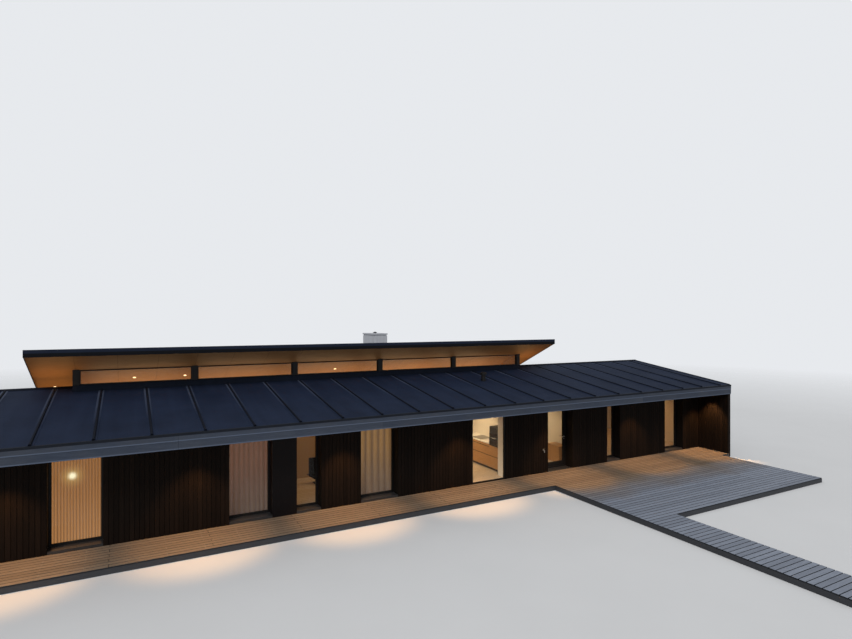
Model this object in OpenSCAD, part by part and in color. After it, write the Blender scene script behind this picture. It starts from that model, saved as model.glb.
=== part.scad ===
// Long, low timber beach house on a timber deck, in millimetres.
// X runs along the front, the front faces -Y, Z is up from the ground.
// The origin is on the ground under the middle of the ridge.

/* [House] */
// Length over the outer faces of the two end walls
house_l = 29260; // [26000:10:32000]
// Depth over the outer faces of the front and back walls
house_d = 6540; // [5600:10:8000]
// Thickness of the insulated outer walls
wall_t = 420; // [360:5:500]
// Height of the concrete base slab above the ground
slab_h = 130; // [110:5:140]
// How far the slab stays inside the cladding
slab_inset = 30; // [0:5:60]
// Height of the inner floor above the ground
floor_z = 170; // [155:5:200]
// Height of every window and door head above the ground
head_z = 2430; // [2300:10:2500]
// Thickness of the walls between rooms
partition_t = 100; // [70:5:150]

/* [Main roof] */
// Height of the ridge above the ground
ridge_z = 3450; // [3300:10:3700]
// Height that the roof falls from the ridge to the eave
roof_fall = 665; // [450:5:800]
// Overhang of the eaves past the front and back walls
eave_out = 1320; // [900:10:1500]
// Overhang of the roof past each end wall
verge_out = 20; // [10:5:60]
// Upright thickness of the roof build-up
roof_t = 260; // [200:5:300]
// Spacing of the battens under the roofing felt
batten_pitch = 1080; // [900:10:1200]
// Width of a batten at its foot
batten_w = 60; // [40:2:80]
// Height of a batten
batten_h = 38; // [25:1:45]
// Height of the eave fascia
fascia_h = 345; // [300:5:400]
// Height of the lower of the two fascia boards
fascia_low_h = 150; // [100:5:180]
// Thickness of a fascia board
fascia_t = 25; // [20:1:40]
// Thickness of the boards under the eaves
soffit_t = 20; // [15:1:30]

/* [Upper roof] */
// How far the window band sits in front of the ridge
band_y = 450; // [400:10:600]
// Overhang of the upper roof past the window band
upper_out = 940; // [800:10:1300]
// Slope of the upper roof, down towards the back
upper_slope = 24.1; // [22:0.1:28]
// Height of the upper roof's underside above the ridge line
upper_lift = 299; // [200:1:340]
// Upright thickness of the upper roof
upper_t = 165; // [120:5:200]
// Number of window bays under the upper roof
bay_count = 5; // [3:1:6]
// Spacing of the posts in the window band
bay_pitch = 2930; // [2400:10:3100]
// Overhang of the upper roof past the middle of each end post
upper_side = 1000; // [600:10:1200]
// Width of a post in the window band
post_w = 150; // [90:5:180]
// Depth of a post in the window band
post_d = 120; // [80:5:150]
// Height of the felt-covered upstand below the window band
upstand_h = 157; // [120:1:300]
// Sideways shift of the upper roof from the middle of the house
upper_shift = 255; // [0:5:400]

/* [Windows] */
// How far the window frames sit inside the room-side face of the wall
frame_back = 50; // [0:5:80]
// Visible width of a window frame member
frame_w = 36; // [30:1:60]
// Depth of a window frame
frame_d = 70; // [50:1:80]
// Thickness of the glass units
glass_t = 24; // [16:1:32]
// Height of the sill boards above the floor slab
sill_h = 80; // [50:5:100]

/* [Terrace door] */
// Thickness of the door leaf
leaf_t = 56; // [45:1:62]
// Width of the leaf's stiles and top rail
stile_w = 75; // [72:1:110]
// Height of the leaf's bottom rail
bottom_rail = 130; // [90:5:200]
// Running gap round the leaf
leaf_gap = 8; // [7.5:0.5:12]
// Height of the lever above the ground
lever_z = 1190; // [1100:5:1300]
// Length of the lever
lever_l = 130; // [100:5:150]
// Radius of a hinge knuckle
knuckle_r = 8; // [7:0.5:10]
// Height of a hinge knuckle
knuckle_h = 45; // [30:1:60]
// Radius of a hinge pin
pin_r = 4; // [3:0.5:5]

/* [Deck] */
// Height of the deck's top above the ground
deck_z = 150; // [140:5:160]
// Thickness of the deck boards
board_t = 28; // [21:1:34]
// How far the terrace stops short of the end wall's outer face
terrace_in = 590; // [110:10:700]
// Length of the terrace along the house
terrace_l = 8220; // [6000:10:9000]
// Reach of the terrace in front of the eave
terrace_out = 3470; // [2500:5:4500]
// Width of the walkway
walk_w = 1100; // [900:10:1500]
// Length of the walkway from the terrace
walk_l = 4610; // [3000:10:6000]
// Width of a joist
joist_w = 48; // [38:1:60]
// Largest spacing of the joists
joist_pitch = 800; // [500:10:1200]

/* [Kitchen] */
// Front of the kitchen units, measured from the middle of the house
kitchen_x = 5065; // [4800:5:5400]
// Depth of the kitchen units
unit_d = 580; // [550:5:620]
// Height of the worktop above the floor
worktop_h = 900; // [850:5:950]
// Thickness of the worktop
worktop_t = 40; // [20:1:60]
// Width of the oven column
oven_w = 500; // [450:5:600]
// Height of the oven column above the floor
oven_h = 1480; // [1300:10:1700]
// Length of the low units
unit_l = 3000; // [2400:10:3600]
// Number of units side by side
unit_count = 5; // [4:1:6]
// Height of the recessed plinth
plinth_h = 100; // [80:5:120]
// Thickness of the drawer fronts
front_t = 19; // [16:1:22]
// Gap between the drawer fronts
front_gap = 4; // [2:0.5:6]

/* [Hidden] */
$fn = 48;

// Outer lines of the house
half_l = house_l / 2;
half_d = house_d / 2;
eave_y = half_d + eave_out;
eave_z = ridge_z - roof_fall;
fall = roof_fall / eave_y;
roof_half_l = half_l + verge_out;
inner_y = half_d - wall_t;
fin_t = 110;
soffit_z = eave_z - fascia_h;
// Play between pieces that meet on a slope
seat = 0.3;

// Openings of the front wall: left side and width, from the middle of the house
bed_x = -7410;
bed_w = 1060;
hall_x = -3620;
hall_w = 1070;
nook_x = -1910;
nook_w = 660;
living_x = -95;
living_w = 1145;
kitchen_door_x = 3607;
kitchen_door_w = 1290;
door_x = 6655;
door_w = 1110;
slot_in = 5210;
slot_x = half_l - slot_in;
slot_w = 645;
end_in = 2125;
end_x = half_l - end_in;
end_w = 1050;
windows = [
    [-end_x - end_w, end_w], [-slot_x - slot_w, slot_w], [bed_x, bed_w],
    [hall_x, hall_w], [nook_x, nook_w], [living_x, living_w],
    [slot_x, slot_w], [end_x, end_w]
];
glazed_door = [kitchen_door_x, kitchen_door_w];
door = [door_x, door_w];
front_openings = [
    windows[0], windows[1], windows[2], windows[3], windows[4], windows[5],
    glazed_door, door, windows[6], windows[7]
];
back_openings = [
    windows[0], windows[1], windows[2], windows[3], windows[5],
    glazed_door, windows[6], windows[7]
];
curtain_windows = [windows[2], windows[3], windows[5]];

// Upper roof lines
upper_tan = tan(upper_slope);
upper_front_y = -band_y - upper_out;
bays_l = bay_count * bay_pitch;
upper_half_l = bays_l / 2 + upper_side;
upstand_t = 100;
upper_frame_w = 30;
opening_half_l = bays_l / 2 - post_w / 2;
post_out = 20;
batten_gap = 20;
ridge_play = 5;

// Height of the main roof's top face at a distance y from the ridge line
function roof_top(y) = ridge_z - abs(y) * fall;
// Height of the main roof's underside
function roof_low(y) = roof_top(y) - roof_t;
// Height of the upper roof's underside
function upper_low(y) = ridge_z + upper_lift - y * upper_tan;
// Where a line through the upper roof, raised by h, meets the back slope lowered by d
function meet(h, d) = (upper_lift + h + d) / (upper_tan - fall);

// A profile drawn in Y and Z, run along X from x to x + l
module run_x(x, l) {
    translate([x, 0, 0])
        rotate([90, 0, 90])
            linear_extrude(height = l)
                children();
}

module box(x, y, z) {
    translate([x[0], y[0], z[0]])
        cube([x[1] - x[0], y[1] - y[0], z[1] - z[0]]);
}

// Everything on the back is the front turned round the ridge line
module both_sides() {
    children();
    mirror([0, 1, 0])
        children();
}

module both_ends() {
    children();
    mirror([1, 0, 0])
        children();
}

// Section of an outer long wall from the slab up to the roof
module wall_section(low) {
    polygon([
        [-half_d, low], [-inner_y, low],
        [-inner_y, roof_low(inner_y) - seat], [-half_d, roof_low(half_d) - seat]
    ]);
}

module wall_panel(x_from, x_to) {
    run_x(x_from, x_to - x_from)
        wall_section(slab_h);
}

module lintel(opening) {
    run_x(opening[0], opening[1])
        wall_section(head_z);
}

function right_of(opening) = opening[0] + opening[1];

module floor_slab() {
    color("gray")
        box([-half_l + slab_inset, half_l - slab_inset],
            [-half_d + slab_inset, half_d - slab_inset], [0, slab_h]);
}

module inner_floor() {
    color("tan")
        box([-half_l + wall_t, half_l - wall_t], [-inner_y, inner_y], [slab_h, floor_z]);
}

partition_x = kitchen_x + unit_d;
bench_x = 7725;
bench_in = 230;
bench_y = -inner_y + bench_in;
bench_d = 420;
bench_w = 640;
bench_h = 590;
lid_t = 25;
lid_out = 12;

nook_wall_x = [-2480, -150];
nook_wall_y = -150;

// The walls seen through the kitchen's glass, the terrace door and the nook's window
module inner_walls() {
    color("beige") {
        box(nook_wall_x, [nook_wall_y, nook_wall_y + partition_t], [floor_z, head_z]);
        box([partition_x, partition_x + partition_t], [-inner_y, inner_y], [floor_z, head_z]);
        box([bench_x + bench_d, bench_x + bench_d + partition_t], [-inner_y, inner_y],
            [floor_z, head_z]);
    }
}

module front_wall_left() {
    color("#1d1613") {
        wall_panel(-half_l, front_openings[0][0]);
        wall_panel(right_of(front_openings[0]), front_openings[1][0]);
        wall_panel(right_of(front_openings[1]), front_openings[2][0]);
    }
}

module front_wall_middle() {
    color("#1d1613") {
        wall_panel(right_of(front_openings[2]), front_openings[3][0]);
        wall_panel(right_of(front_openings[4]), front_openings[5][0]);
        wall_panel(right_of(front_openings[5]), front_openings[6][0]);
    }
}

module smooth_panel() {
    color("#15110f")
        wall_panel(right_of(front_openings[3]), front_openings[4][0]);
}

module front_wall_right() {
    color("#1d1613") {
        wall_panel(right_of(front_openings[6]), front_openings[7][0]);
        wall_panel(right_of(front_openings[7]), front_openings[8][0]);
        wall_panel(right_of(front_openings[8]), front_openings[9][0]);
        wall_panel(right_of(front_openings[9]), half_l);
    }
}

module lintels() {
    color("#1d1613") {
        for (opening = front_openings)
            lintel(opening);
        mirror([0, 1, 0])
            for (opening = back_openings)
                lintel(opening);
    }
}

module back_wall() {
    color("#1d1613")
        mirror([0, 1, 0]) {
            wall_panel(-half_l, back_openings[0][0]);
            for (i = [1 : len(back_openings) - 1])
                wall_panel(right_of(back_openings[i - 1]), back_openings[i][0]);
            wall_panel(right_of(back_openings[len(back_openings) - 1]), half_l);
        }
}

module end_walls() {
    color("#1d1613")
        both_ends()
            run_x(half_l - wall_t, wall_t)
                polygon([
                    [-inner_y, slab_h], [inner_y, slab_h], [inner_y, roof_low(inner_y) - seat],
                    [0, roof_low(0) - seat], [-inner_y, roof_low(inner_y) - seat]
                ]);
}

// The end walls run on under the eaves as thin boarded fins
module fin_walls() {
    color("#1d1613")
        both_sides()
            both_ends()
                run_x(half_l - fin_t, fin_t)
                    polygon([
                        [-eave_y + 2 * fascia_t, 0], [-half_d, 0],
                        [-half_d, roof_low(half_d) - seat],
                        [-eave_y + 2 * fascia_t, roof_low(eave_y - 2 * fascia_t) - seat]
                    ]);
}

module roof_section() {
    polygon([
        [-eave_y + 2 * fascia_t, roof_top(eave_y - 2 * fascia_t)], [0, ridge_z],
        [0, ridge_z - roof_t], [-eave_y + 2 * fascia_t, roof_low(eave_y - 2 * fascia_t)]
    ]);
}

// The front slope is open behind the window band
module front_roof() {
    color("#23262c")
        difference() {
            run_x(-half_l, house_l)
                roof_section();
            box([upper_shift - opening_half_l, upper_shift + opening_half_l],
                [-band_y + upstand_t, 1], [0, ridge_z + 1]);
        }
}

// The back slope is cut away under the ceiling that rises to the window band
module back_roof() {
    color("#23262c")
        difference() {
            mirror([0, 1, 0])
                run_x(-half_l, house_l)
                    roof_section();
            run_x(upper_shift - opening_half_l, 2 * opening_half_l)
                polygon([
                    [-1, upper_low(-1)], [-1, 0],
                    [meet(0, roof_t) + 1, 0],
                    [meet(0, roof_t) + 1, upper_low(meet(0, roof_t) + 1)]
                ]);
        }
}

// One batten on a slope that falls from [y, z] over a level length l
module batten(x, y, z, l, slope) {
    translate([x, y, z + seat])
        rotate([slope, 0, 0])
            rotate([90, 0, 0])
                linear_extrude(height = l / cos(slope))
                    polygon([
                        [-batten_w / 2, 0], [batten_w / 2, 0],
                        [batten_w / 4, batten_h], [-batten_w / 4, batten_h]
                    ]);
}

main_slope = atan(fall);
batten_side = floor((half_l - batten_w) / batten_pitch);
function in_band(x) = abs(x - upper_shift) < bays_l / 2 + post_w;
function under_upper(x) = abs(x - upper_shift) < upper_half_l + fascia_t + batten_w;
function at_chimney(x) = x > chimney_x - batten_w && x < chimney_x + chimney_w + batten_w;
function back_start(x) = at_chimney(x) ? chimney_y + chimney_l + batten_gap
    : under_upper(x) ? meet(upper_t, 0) + batten_gap : ridge_play;
eave_batten_y = eave_y - 2 * fascia_t;
ridge_w = 90;
ridge_cap_h = 12;
cheek_x = bays_l / 2 + post_w / 2;
post_y = -band_y - post_out;
apron_t = 30;
apron_drop = 15;
apron_y = post_y - apron_t;

module roof_battens() {
    color("#23262c") {
        for (i = [-batten_side : batten_side]) {
            x = i * batten_pitch;
            front_from = in_band(x) ? -apron_y + ridge_play : ridge_play;
            batten(x, -front_from, roof_top(front_from), eave_batten_y - front_from, main_slope);
            back_from = back_start(x);
            mirror([0, 1, 0])
                batten(x, -back_from, roof_top(back_from), eave_batten_y - back_from, main_slope);
            if (abs(x - upper_shift) < upper_half_l - batten_w)
                mirror([0, 1, 0])
                    batten(x, -upper_front_y, upper_low(upper_front_y) + upper_t,
                        meet(upper_t, 0) - upper_front_y - batten_gap, upper_slope);
        }
        for (side = [-1, 1])
            run_x(side > 0 ? upper_shift + cheek_x + ridge_play : -half_l,
                  half_l - cheek_x - ridge_play - side * upper_shift)
                polygon([
                    [-ridge_w, roof_top(ridge_w) + seat], [0, ridge_z + seat],
                    [ridge_w, roof_top(ridge_w) + seat],
                    [ridge_w / 2, ridge_z + ridge_cap_h], [-ridge_w / 2, ridge_z + ridge_cap_h]
                ]);
    }
}

// Two boards, the upper one standing out over the lower
module eave_fascias() {
    color("#5d6066")
        both_sides() {
            box([-roof_half_l, roof_half_l], [-eave_y + fascia_t, -eave_y + 2 * fascia_t],
                [soffit_z, soffit_z + fascia_low_h]);
            box([-roof_half_l, roof_half_l], [-eave_y, -eave_y + 2 * fascia_t],
                [soffit_z + fascia_low_h, eave_z]);
        }
}

module verge_boards() {
    color("#5d6066")
        both_ends()
            run_x(half_l, verge_out)
                polygon([
                    [-eave_y + 2 * fascia_t, roof_top(eave_y - 2 * fascia_t)], [0, ridge_z],
                    [eave_y - 2 * fascia_t, roof_top(eave_y - 2 * fascia_t)],
                    [eave_y - 2 * fascia_t, roof_low(eave_y - 2 * fascia_t)],
                    [0, ridge_z - roof_t],
                    [-eave_y + 2 * fascia_t, roof_low(eave_y - 2 * fascia_t)]
                ]);
}

module eave_soffits() {
    color("#b98a5a")
        both_sides()
            box([-half_l + fin_t, half_l - fin_t], [-eave_y + 2 * fascia_t, -half_d],
                [soffit_z, soffit_z + soffit_t]);
}

light_pitch = 3742;
light_in = 220;
light_first = half_l - fin_t - light_in;
light_count = 8;
light_r = 45;
light_h = 12;
light_y = -(half_d + eave_y) / 2;

lamp_x = -6975;
lamp_y = -2600;
lamp_z = 1705;
lamp_r = 70;
lamp_foot_r = 140;
lamp_foot_h = 20;
lamp_stem_r = 10;

spot_xs = [-5685, -4341, 364];
spot_y = 275;
side_spot_x = -7650;
side_spot_y = 763;
spot_r = 38;
spot_h = 8;

// A round spotlight flat against the sloping underside of the upper roof
module ceiling_spot(x, y) {
    translate([x, y, upper_low(y) - seat])
        rotate([-upper_slope, 0, 0])
            translate([0, 0, -spot_h])
                cylinder(r = spot_r, h = spot_h);
}

// Flat lights under the front eave, ceiling spots, and the bedroom's floor lamp
module lamps() {
    color("lightyellow") {
        for (i = [0 : light_count - 1])
            translate([light_first - i * light_pitch, light_y, soffit_z - light_h])
                cylinder(r = light_r, h = light_h);
        for (x = spot_xs)
            ceiling_spot(x, spot_y);
        ceiling_spot(side_spot_x, side_spot_y);
        translate([lamp_x, lamp_y, floor_z]) {
            cylinder(r = lamp_foot_r, h = lamp_foot_h);
            cylinder(r = lamp_stem_r, h = lamp_z - floor_z);
            translate([0, 0, lamp_z - floor_z])
                sphere(r = lamp_r);
        }
    }
}

module upper_posts() {
    color("#141210")
        for (i = [0 : bay_count])
            run_x(upper_shift - bays_l / 2 + i * bay_pitch - post_w / 2, post_w)
                polygon([
                    [post_y, roof_top(post_y) + seat],
                    [post_y + post_d, roof_top(post_y + post_d) + seat],
                    [post_y + post_d, upper_low(post_y + post_d) - seat],
                    [post_y, upper_low(post_y) - seat]
                ]);
}

upstand_z = roof_top(band_y) + upstand_h;

// One piece for each bay, from the inner face of one post to the next
module each_bay() {
    for (i = [0 : bay_count - 1])
        translate([upper_shift - bays_l / 2 + i * bay_pitch + post_w / 2, 0, 0])
            children();
}

bay_clear = bay_pitch - post_w;

// A kerb in each bay, and a felted board that runs on in front of the posts
module upper_upstand() {
    color("#23262c") {
        each_bay()
            run_x(0, bay_clear)
                polygon([
                    [post_y + seat, roof_top(post_y) + seat],
                    [-band_y + upstand_t, roof_top(band_y - upstand_t) + seat],
                    [-band_y + upstand_t, upstand_z], [post_y + seat, upstand_z]
                ]);
        run_x(upper_shift - cheek_x, 2 * cheek_x)
            polygon([
                [apron_y, roof_top(apron_y) + seat], [post_y, roof_top(post_y) + seat],
                [post_y, upstand_z], [apron_y, upstand_z - apron_drop]
            ]);
    }
}

band_frame_in = 20;
band_frame_y = -band_y + band_frame_in;
band_frame_d = 44;
band_back_y = band_frame_y + band_frame_d;
band_head_h = 12;
band_head_z = upper_low(band_back_y) - band_head_h;

module upper_frames() {
    color("#141210")
        each_bay()
            difference() {
                run_x(0, bay_clear)
                    polygon([
                        [band_frame_y, upstand_z], [band_back_y, upstand_z],
                        [band_back_y, upper_low(band_back_y) - seat],
                        [band_frame_y, upper_low(band_frame_y) - seat]
                    ]);
                box([upper_frame_w, bay_clear - upper_frame_w], [-band_y, 0],
                    [upstand_z + upper_frame_w, band_head_z]);
            }
}

module upper_glass() {
    color("#c8b088", 0.4)
        each_bay()
            box([upper_frame_w, bay_clear - upper_frame_w],
                [band_frame_y + (band_frame_d - glass_t) / 2,
                 band_frame_y + (band_frame_d + glass_t) / 2],
                [upstand_z + upper_frame_w, band_head_z]);
}

// Triangular walls that close the ends behind the window band
module upper_cheeks() {
    color("#1d1613")
        for (side = [-1, 1])
            run_x(upper_shift + side * bays_l / 2 - post_w / 2, post_w)
                polygon([
                    [post_y + post_d, roof_top(post_y + post_d) + seat], [0, ridge_z + seat],
                    [meet(-2 * seat, 0), roof_top(meet(-2 * seat, 0)) + seat],
                    [post_y + post_d, upper_low(post_y + post_d) - seat]
                ]);
}

module upper_roof() {
    color("#b98a5a")
        run_x(upper_shift - upper_half_l, 2 * upper_half_l)
            polygon([
                [upper_front_y, upper_low(upper_front_y)],
                [upper_front_y, upper_low(upper_front_y) + upper_t],
                [meet(upper_t, 0), roof_top(meet(upper_t, 0)) + seat],
                [meet(0, 0), roof_top(meet(0, 0)) + seat]
            ]);
}

edge_up = 15;
edge_down = 5;

// The black edge of the upper roof, along its front and down both sides
module upper_fascia() {
    color("#17191d") {
        box([upper_shift - upper_half_l - fascia_t, upper_shift + upper_half_l + fascia_t],
            [upper_front_y - fascia_t, upper_front_y],
            [upper_low(upper_front_y) - edge_down, upper_low(upper_front_y) + upper_t + edge_up]);
        for (x = [upper_shift - upper_half_l - fascia_t, upper_shift + upper_half_l])
            run_x(x, fascia_t)
                polygon([
                    [upper_front_y + seat, upper_low(upper_front_y + seat)],
                    [upper_front_y + seat, upper_low(upper_front_y) + upper_t + edge_up],
                    [meet(upper_t, 0), roof_top(meet(upper_t, 0)) + seat],
                    [meet(0, 0), roof_top(meet(0, 0)) + seat]
                ]);
    }
}

chimney_x = 2362;
chimney_back = 106;
chimney_y = meet(upper_t, 0) + chimney_back;
chimney_w = 565;
chimney_l = 1058;
chimney_z = 4778;
cap_h = 60;
cap_r = 85;
cap_neck_r = 60;
cap_rim_z = 24;
cap_rim_h = 9;
slab_out = 15;
slab_t = 50;
neck_in = 15;
neck_h = 45;

// A rendered shaft, a recessed neck, a cover slab and a small cowl
module chimney() {
    color("#b9bcc2") {
        run_x(chimney_x, chimney_w)
            polygon([
                [chimney_y, roof_top(chimney_y) + seat],
                [chimney_y + chimney_l, roof_top(chimney_y + chimney_l) + seat],
                [chimney_y + chimney_l, chimney_z - slab_t - neck_h],
                [chimney_y, chimney_z - slab_t - neck_h]
            ]);
        box([chimney_x + neck_in, chimney_x + chimney_w - neck_in],
            [chimney_y + neck_in, chimney_y + chimney_l - neck_in],
            [chimney_z - slab_t - neck_h, chimney_z - slab_t]);
        box([chimney_x - slab_out, chimney_x + chimney_w + slab_out],
            [chimney_y - slab_out, chimney_y + chimney_l + slab_out],
            [chimney_z - slab_t, chimney_z]);
        translate([chimney_x + chimney_w / 2, chimney_y + chimney_l / 2, chimney_z])
            rotate_extrude()
                polygon([
                    [0, 0], [cap_neck_r, 0], [cap_neck_r, cap_rim_z],
                    [cap_r, cap_rim_z], [cap_r, cap_rim_z + cap_rim_h], [0, cap_h]
                ]);
    }
}

vent_x = 4990;
vent_y = -1870;
vent_r = 75;
vent_h = 310;
hood_r = 115;
hood_h = 90;

// A pipe with a conical hood, cut off along the slope
module roof_vent() {
    color("#111214")
        difference() {
            translate([vent_x, vent_y, roof_top(vent_y) - hood_r])
                rotate_extrude()
                    polygon([
                        [0, 0], [vent_r, 0], [vent_r, hood_r + vent_h - hood_h],
                        [hood_r, hood_r + vent_h - hood_h], [hood_r, hood_r + vent_h - hood_h / 3],
                        [vent_r / 2, hood_r + vent_h], [0, hood_r + vent_h]
                    ]);
            run_x(vent_x - 2 * hood_r, 4 * hood_r)
                polygon([
                    [vent_y - 2 * hood_r, roof_top(vent_y - 2 * hood_r) + seat],
                    [vent_y + 2 * hood_r, roof_top(vent_y + 2 * hood_r) + seat],
                    [vent_y + 2 * hood_r, 0], [vent_y - 2 * hood_r, 0]
                ]);
        }
}

frame_y = -inner_y - frame_back - frame_d;
glazed_in = 10;
glazed_y = -half_d + glazed_in;

// A window frame set in an opening, from z_low to the head, its outer face at y
module frame(opening, y, z_low) {
    difference() {
        box([opening[0], right_of(opening)], [y, y + frame_d], [z_low, head_z]);
        box([opening[0] + frame_w, right_of(opening) - frame_w], [y - 1, y + frame_d + 1],
            [z_low + frame_w, head_z - frame_w]);
    }
}

module pane(opening, y, z_low) {
    box([opening[0] + frame_w, right_of(opening) - frame_w],
        [y + (frame_d - glass_t) / 2, y + (frame_d + glass_t) / 2],
        [z_low + frame_w, head_z - frame_w]);
}

sill_z = slab_h + sill_h;
module window_frames() {
    color("#141210") {
        for (opening = windows)
            frame(opening, frame_y, sill_z);
        frame(glazed_door, glazed_y, slab_h);
        mirror([0, 1, 0])
            for (opening = back_openings)
                frame(opening, frame_y, sill_z);
    }
}

module window_glass() {
    color("#c8b088", 0.4) {
        for (opening = windows)
            pane(opening, frame_y, sill_z);
        pane(glazed_door, glazed_y, slab_h);
        mirror([0, 1, 0])
            for (opening = back_openings)
                pane(opening, frame_y, sill_z);
    }
}

module window_sills() {
    color("#a58a68") {
        for (opening = windows)
            box([opening[0], right_of(opening)], [-half_d, -inner_y], [slab_h, sill_z]);
        box([door_x, door_x + door_w], [-half_d, door_y], [slab_h, deck_z]);
        box([glazed_door[0], right_of(glazed_door)], [glazed_y + frame_d, -inner_y],
            [slab_h, floor_z]);
        mirror([0, 1, 0])
            for (opening = back_openings)
                box([opening[0], right_of(opening)], [-half_d, -inner_y], [slab_h, sill_z]);
    }
}

// The leaf closes against stops at the back of its frame
stop_w = 22;
stop_d = 18;
stop_gap = 6;
threshold_h = 20;
door_y = -inner_y - stop_d - stop_gap - leaf_t;
threshold_z = floor_z + threshold_h;

leaf_x = door_x + frame_w + leaf_gap;
leaf_w = door_w - 2 * frame_w - 2 * leaf_gap;
leaf_z = threshold_z + leaf_gap;
leaf_h = head_z - frame_w - leaf_gap - leaf_z;

hinge_x = leaf_x - leaf_gap / 2;
hinge_y = door_y - knuckle_r;
hinge_play = 0.3;
hinge_end = 150;
wing_w = 30;
wing_t = 3;
hinge_levels = [
    leaf_z + hinge_end, leaf_z + leaf_h / 2 - knuckle_h,
    leaf_z + leaf_h - hinge_end - 2 * knuckle_h
];

// The fixed half of a hinge: a wing on the frame, a knuckle and its pin
module frame_hinge() {
    cylinder(r = knuckle_r, h = knuckle_h);
    cylinder(r = pin_r, h = 2 * knuckle_h);
    box([-wing_w, 0], [knuckle_r - wing_t, knuckle_r], [0, knuckle_h]);
}

// The turning half: a wing on the leaf and a bored knuckle that drops over the pin
module leaf_hinge() {
    difference() {
        union() {
            cylinder(r = knuckle_r, h = knuckle_h);
            box([0, wing_w], [knuckle_r - wing_t, knuckle_r], [0, knuckle_h]);
        }
        translate([0, 0, -1])
            cylinder(r = pin_r + hinge_play, h = knuckle_h + 2);
    }
}

module door_frame() {
    color("#141210") {
        difference() {
            box([door_x, door_x + door_w], [door_y, -inner_y], [slab_h, head_z]);
            box([door_x + frame_w, door_x + door_w - frame_w],
                [door_y - 1, door_y + leaf_t + stop_gap], [threshold_z, head_z - frame_w]);
            box([door_x + frame_w + stop_w, door_x + door_w - frame_w - stop_w],
                [door_y, -inner_y + 1], [threshold_z, head_z - frame_w - stop_w]);
        }
        for (z = hinge_levels)
            translate([hinge_x, hinge_y, z])
                frame_hinge();
    }
}

module door_leaf() {
    color("#141210") {
        difference() {
            box([leaf_x, leaf_x + leaf_w], [door_y, door_y + leaf_t], [leaf_z, leaf_z + leaf_h]);
            box([leaf_x + stile_w, leaf_x + leaf_w - stile_w], [door_y - 1, door_y + leaf_t + 1],
                [leaf_z + bottom_rail, leaf_z + leaf_h - stile_w]);
        }
        for (z = hinge_levels)
            translate([hinge_x, hinge_y, z + knuckle_h + hinge_play])
                leaf_hinge();
    }
}

module door_glass() {
    color("#c8b088", 0.4)
        box([leaf_x + stile_w, leaf_x + leaf_w - stile_w],
            [door_y + (leaf_t - glass_t) / 2, door_y + (leaf_t + glass_t) / 2],
            [leaf_z + bottom_rail, leaf_z + leaf_h - stile_w]);
}

rose_r = 25;
rose_h = 8;
lever_r = 10;
lever_out = 50;
lever_in = 46;
lock_drop = 75;
lock_r = 14;

// A round rose, a neck, a lever that points at the hinges, and the lock's rose below
module lever() {
    translate([leaf_x + leaf_w - lever_in, 0, lever_z])
        rotate([90, 0, 0]) {
            cylinder(r = rose_r, h = rose_h);
            cylinder(r = lever_r, h = lever_out + lever_r);
            translate([0, 0, lever_out])
                rotate([0, -90, 0])
                    cylinder(r = lever_r, h = lever_l);
            translate([0, -lock_drop, 0])
                cylinder(r = lock_r, h = rose_h);
        }
}

module door_handle() {
    color("silver") {
        translate([0, door_y, 0])
            lever();
        translate([0, door_y + leaf_t, 0])
            mirror([0, 1, 0])
                lever();
    }
}

deck_gap = 5;
deck_back_y = -half_d - deck_gap;
deck_front_y = -eave_y;
terrace_x = half_l - terrace_in - terrace_l;
walk_front_y = deck_front_y - terrace_out - walk_l;

module front_deck() {
    color("#8d8279")
        box([-half_l + fin_t, half_l - fin_t], [deck_front_y, deck_back_y],
            [deck_z - board_t, deck_z]);
}

module terrace() {
    color("#8d8279")
        box([terrace_x, terrace_x + terrace_l], [deck_front_y - terrace_out, deck_front_y],
            [deck_z - board_t, deck_z]);
}

module walkway() {
    color("#8d8279")
        box([terrace_x, terrace_x + walk_w], [walk_front_y, deck_front_y - terrace_out],
            [deck_z - board_t, deck_z]);
}

frame_gap = 0.5;

// A frame of joists with a rim board at both ends, w wide in X and l long in Y
module deck_frame(x, w, y, l) {
    n = ceil((w - joist_w) / joist_pitch);
    h = deck_z - board_t;
    translate([x, y, 0]) {
        for (i = [0 : n])
            translate([i * (w - joist_w) / n, 0, 0])
                cube([joist_w, l, h]);
        cube([w, joist_w, h]);
        translate([0, l - joist_w, 0])
            cube([w, joist_w, h]);
    }
}

module deck_joists() {
    color("#6f655c") {
        deck_frame(-half_l + fin_t, house_l - 2 * fin_t, deck_front_y,
            deck_back_y - deck_front_y);
        deck_frame(terrace_x, terrace_l, deck_front_y - terrace_out, terrace_out - frame_gap);
        deck_frame(terrace_x, walk_w, walk_front_y, walk_l - frame_gap);
    }
}

oven_in = 225;
oven_y = -inner_y + oven_in;
unit_y = oven_y + oven_w;
unit_pitch = unit_l / unit_count;
oven_low = 700;
oven_top = 1250;
oven_out = 10;
control_h = 90;
worktop_out = 10;
plinth_in = 50;
drawer_hs = [400, 200];
handle_r = 8;
handle_out = 40;
handle_drop = 45;
handle_in = 60;
bracket_in = 100;
hob_in = 40;
hob_d = 510;
hob_h = 6;

function unit_top() = worktop_h - worktop_t;
// Foot of each row of drawers above the floor, the top row taking what is left
rows = [
    plinth_h, plinth_h + drawer_hs[0], plinth_h + drawer_hs[0] + drawer_hs[1], unit_top()
];

// A front from y over a length l, between two heights above the floor
module unit_front(y, l, low, high) {
    box([kitchen_x, kitchen_x + front_t], [y + front_gap / 2, y + l - front_gap / 2],
        [floor_z + low + front_gap / 2, floor_z + high - front_gap / 2]);
}

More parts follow.
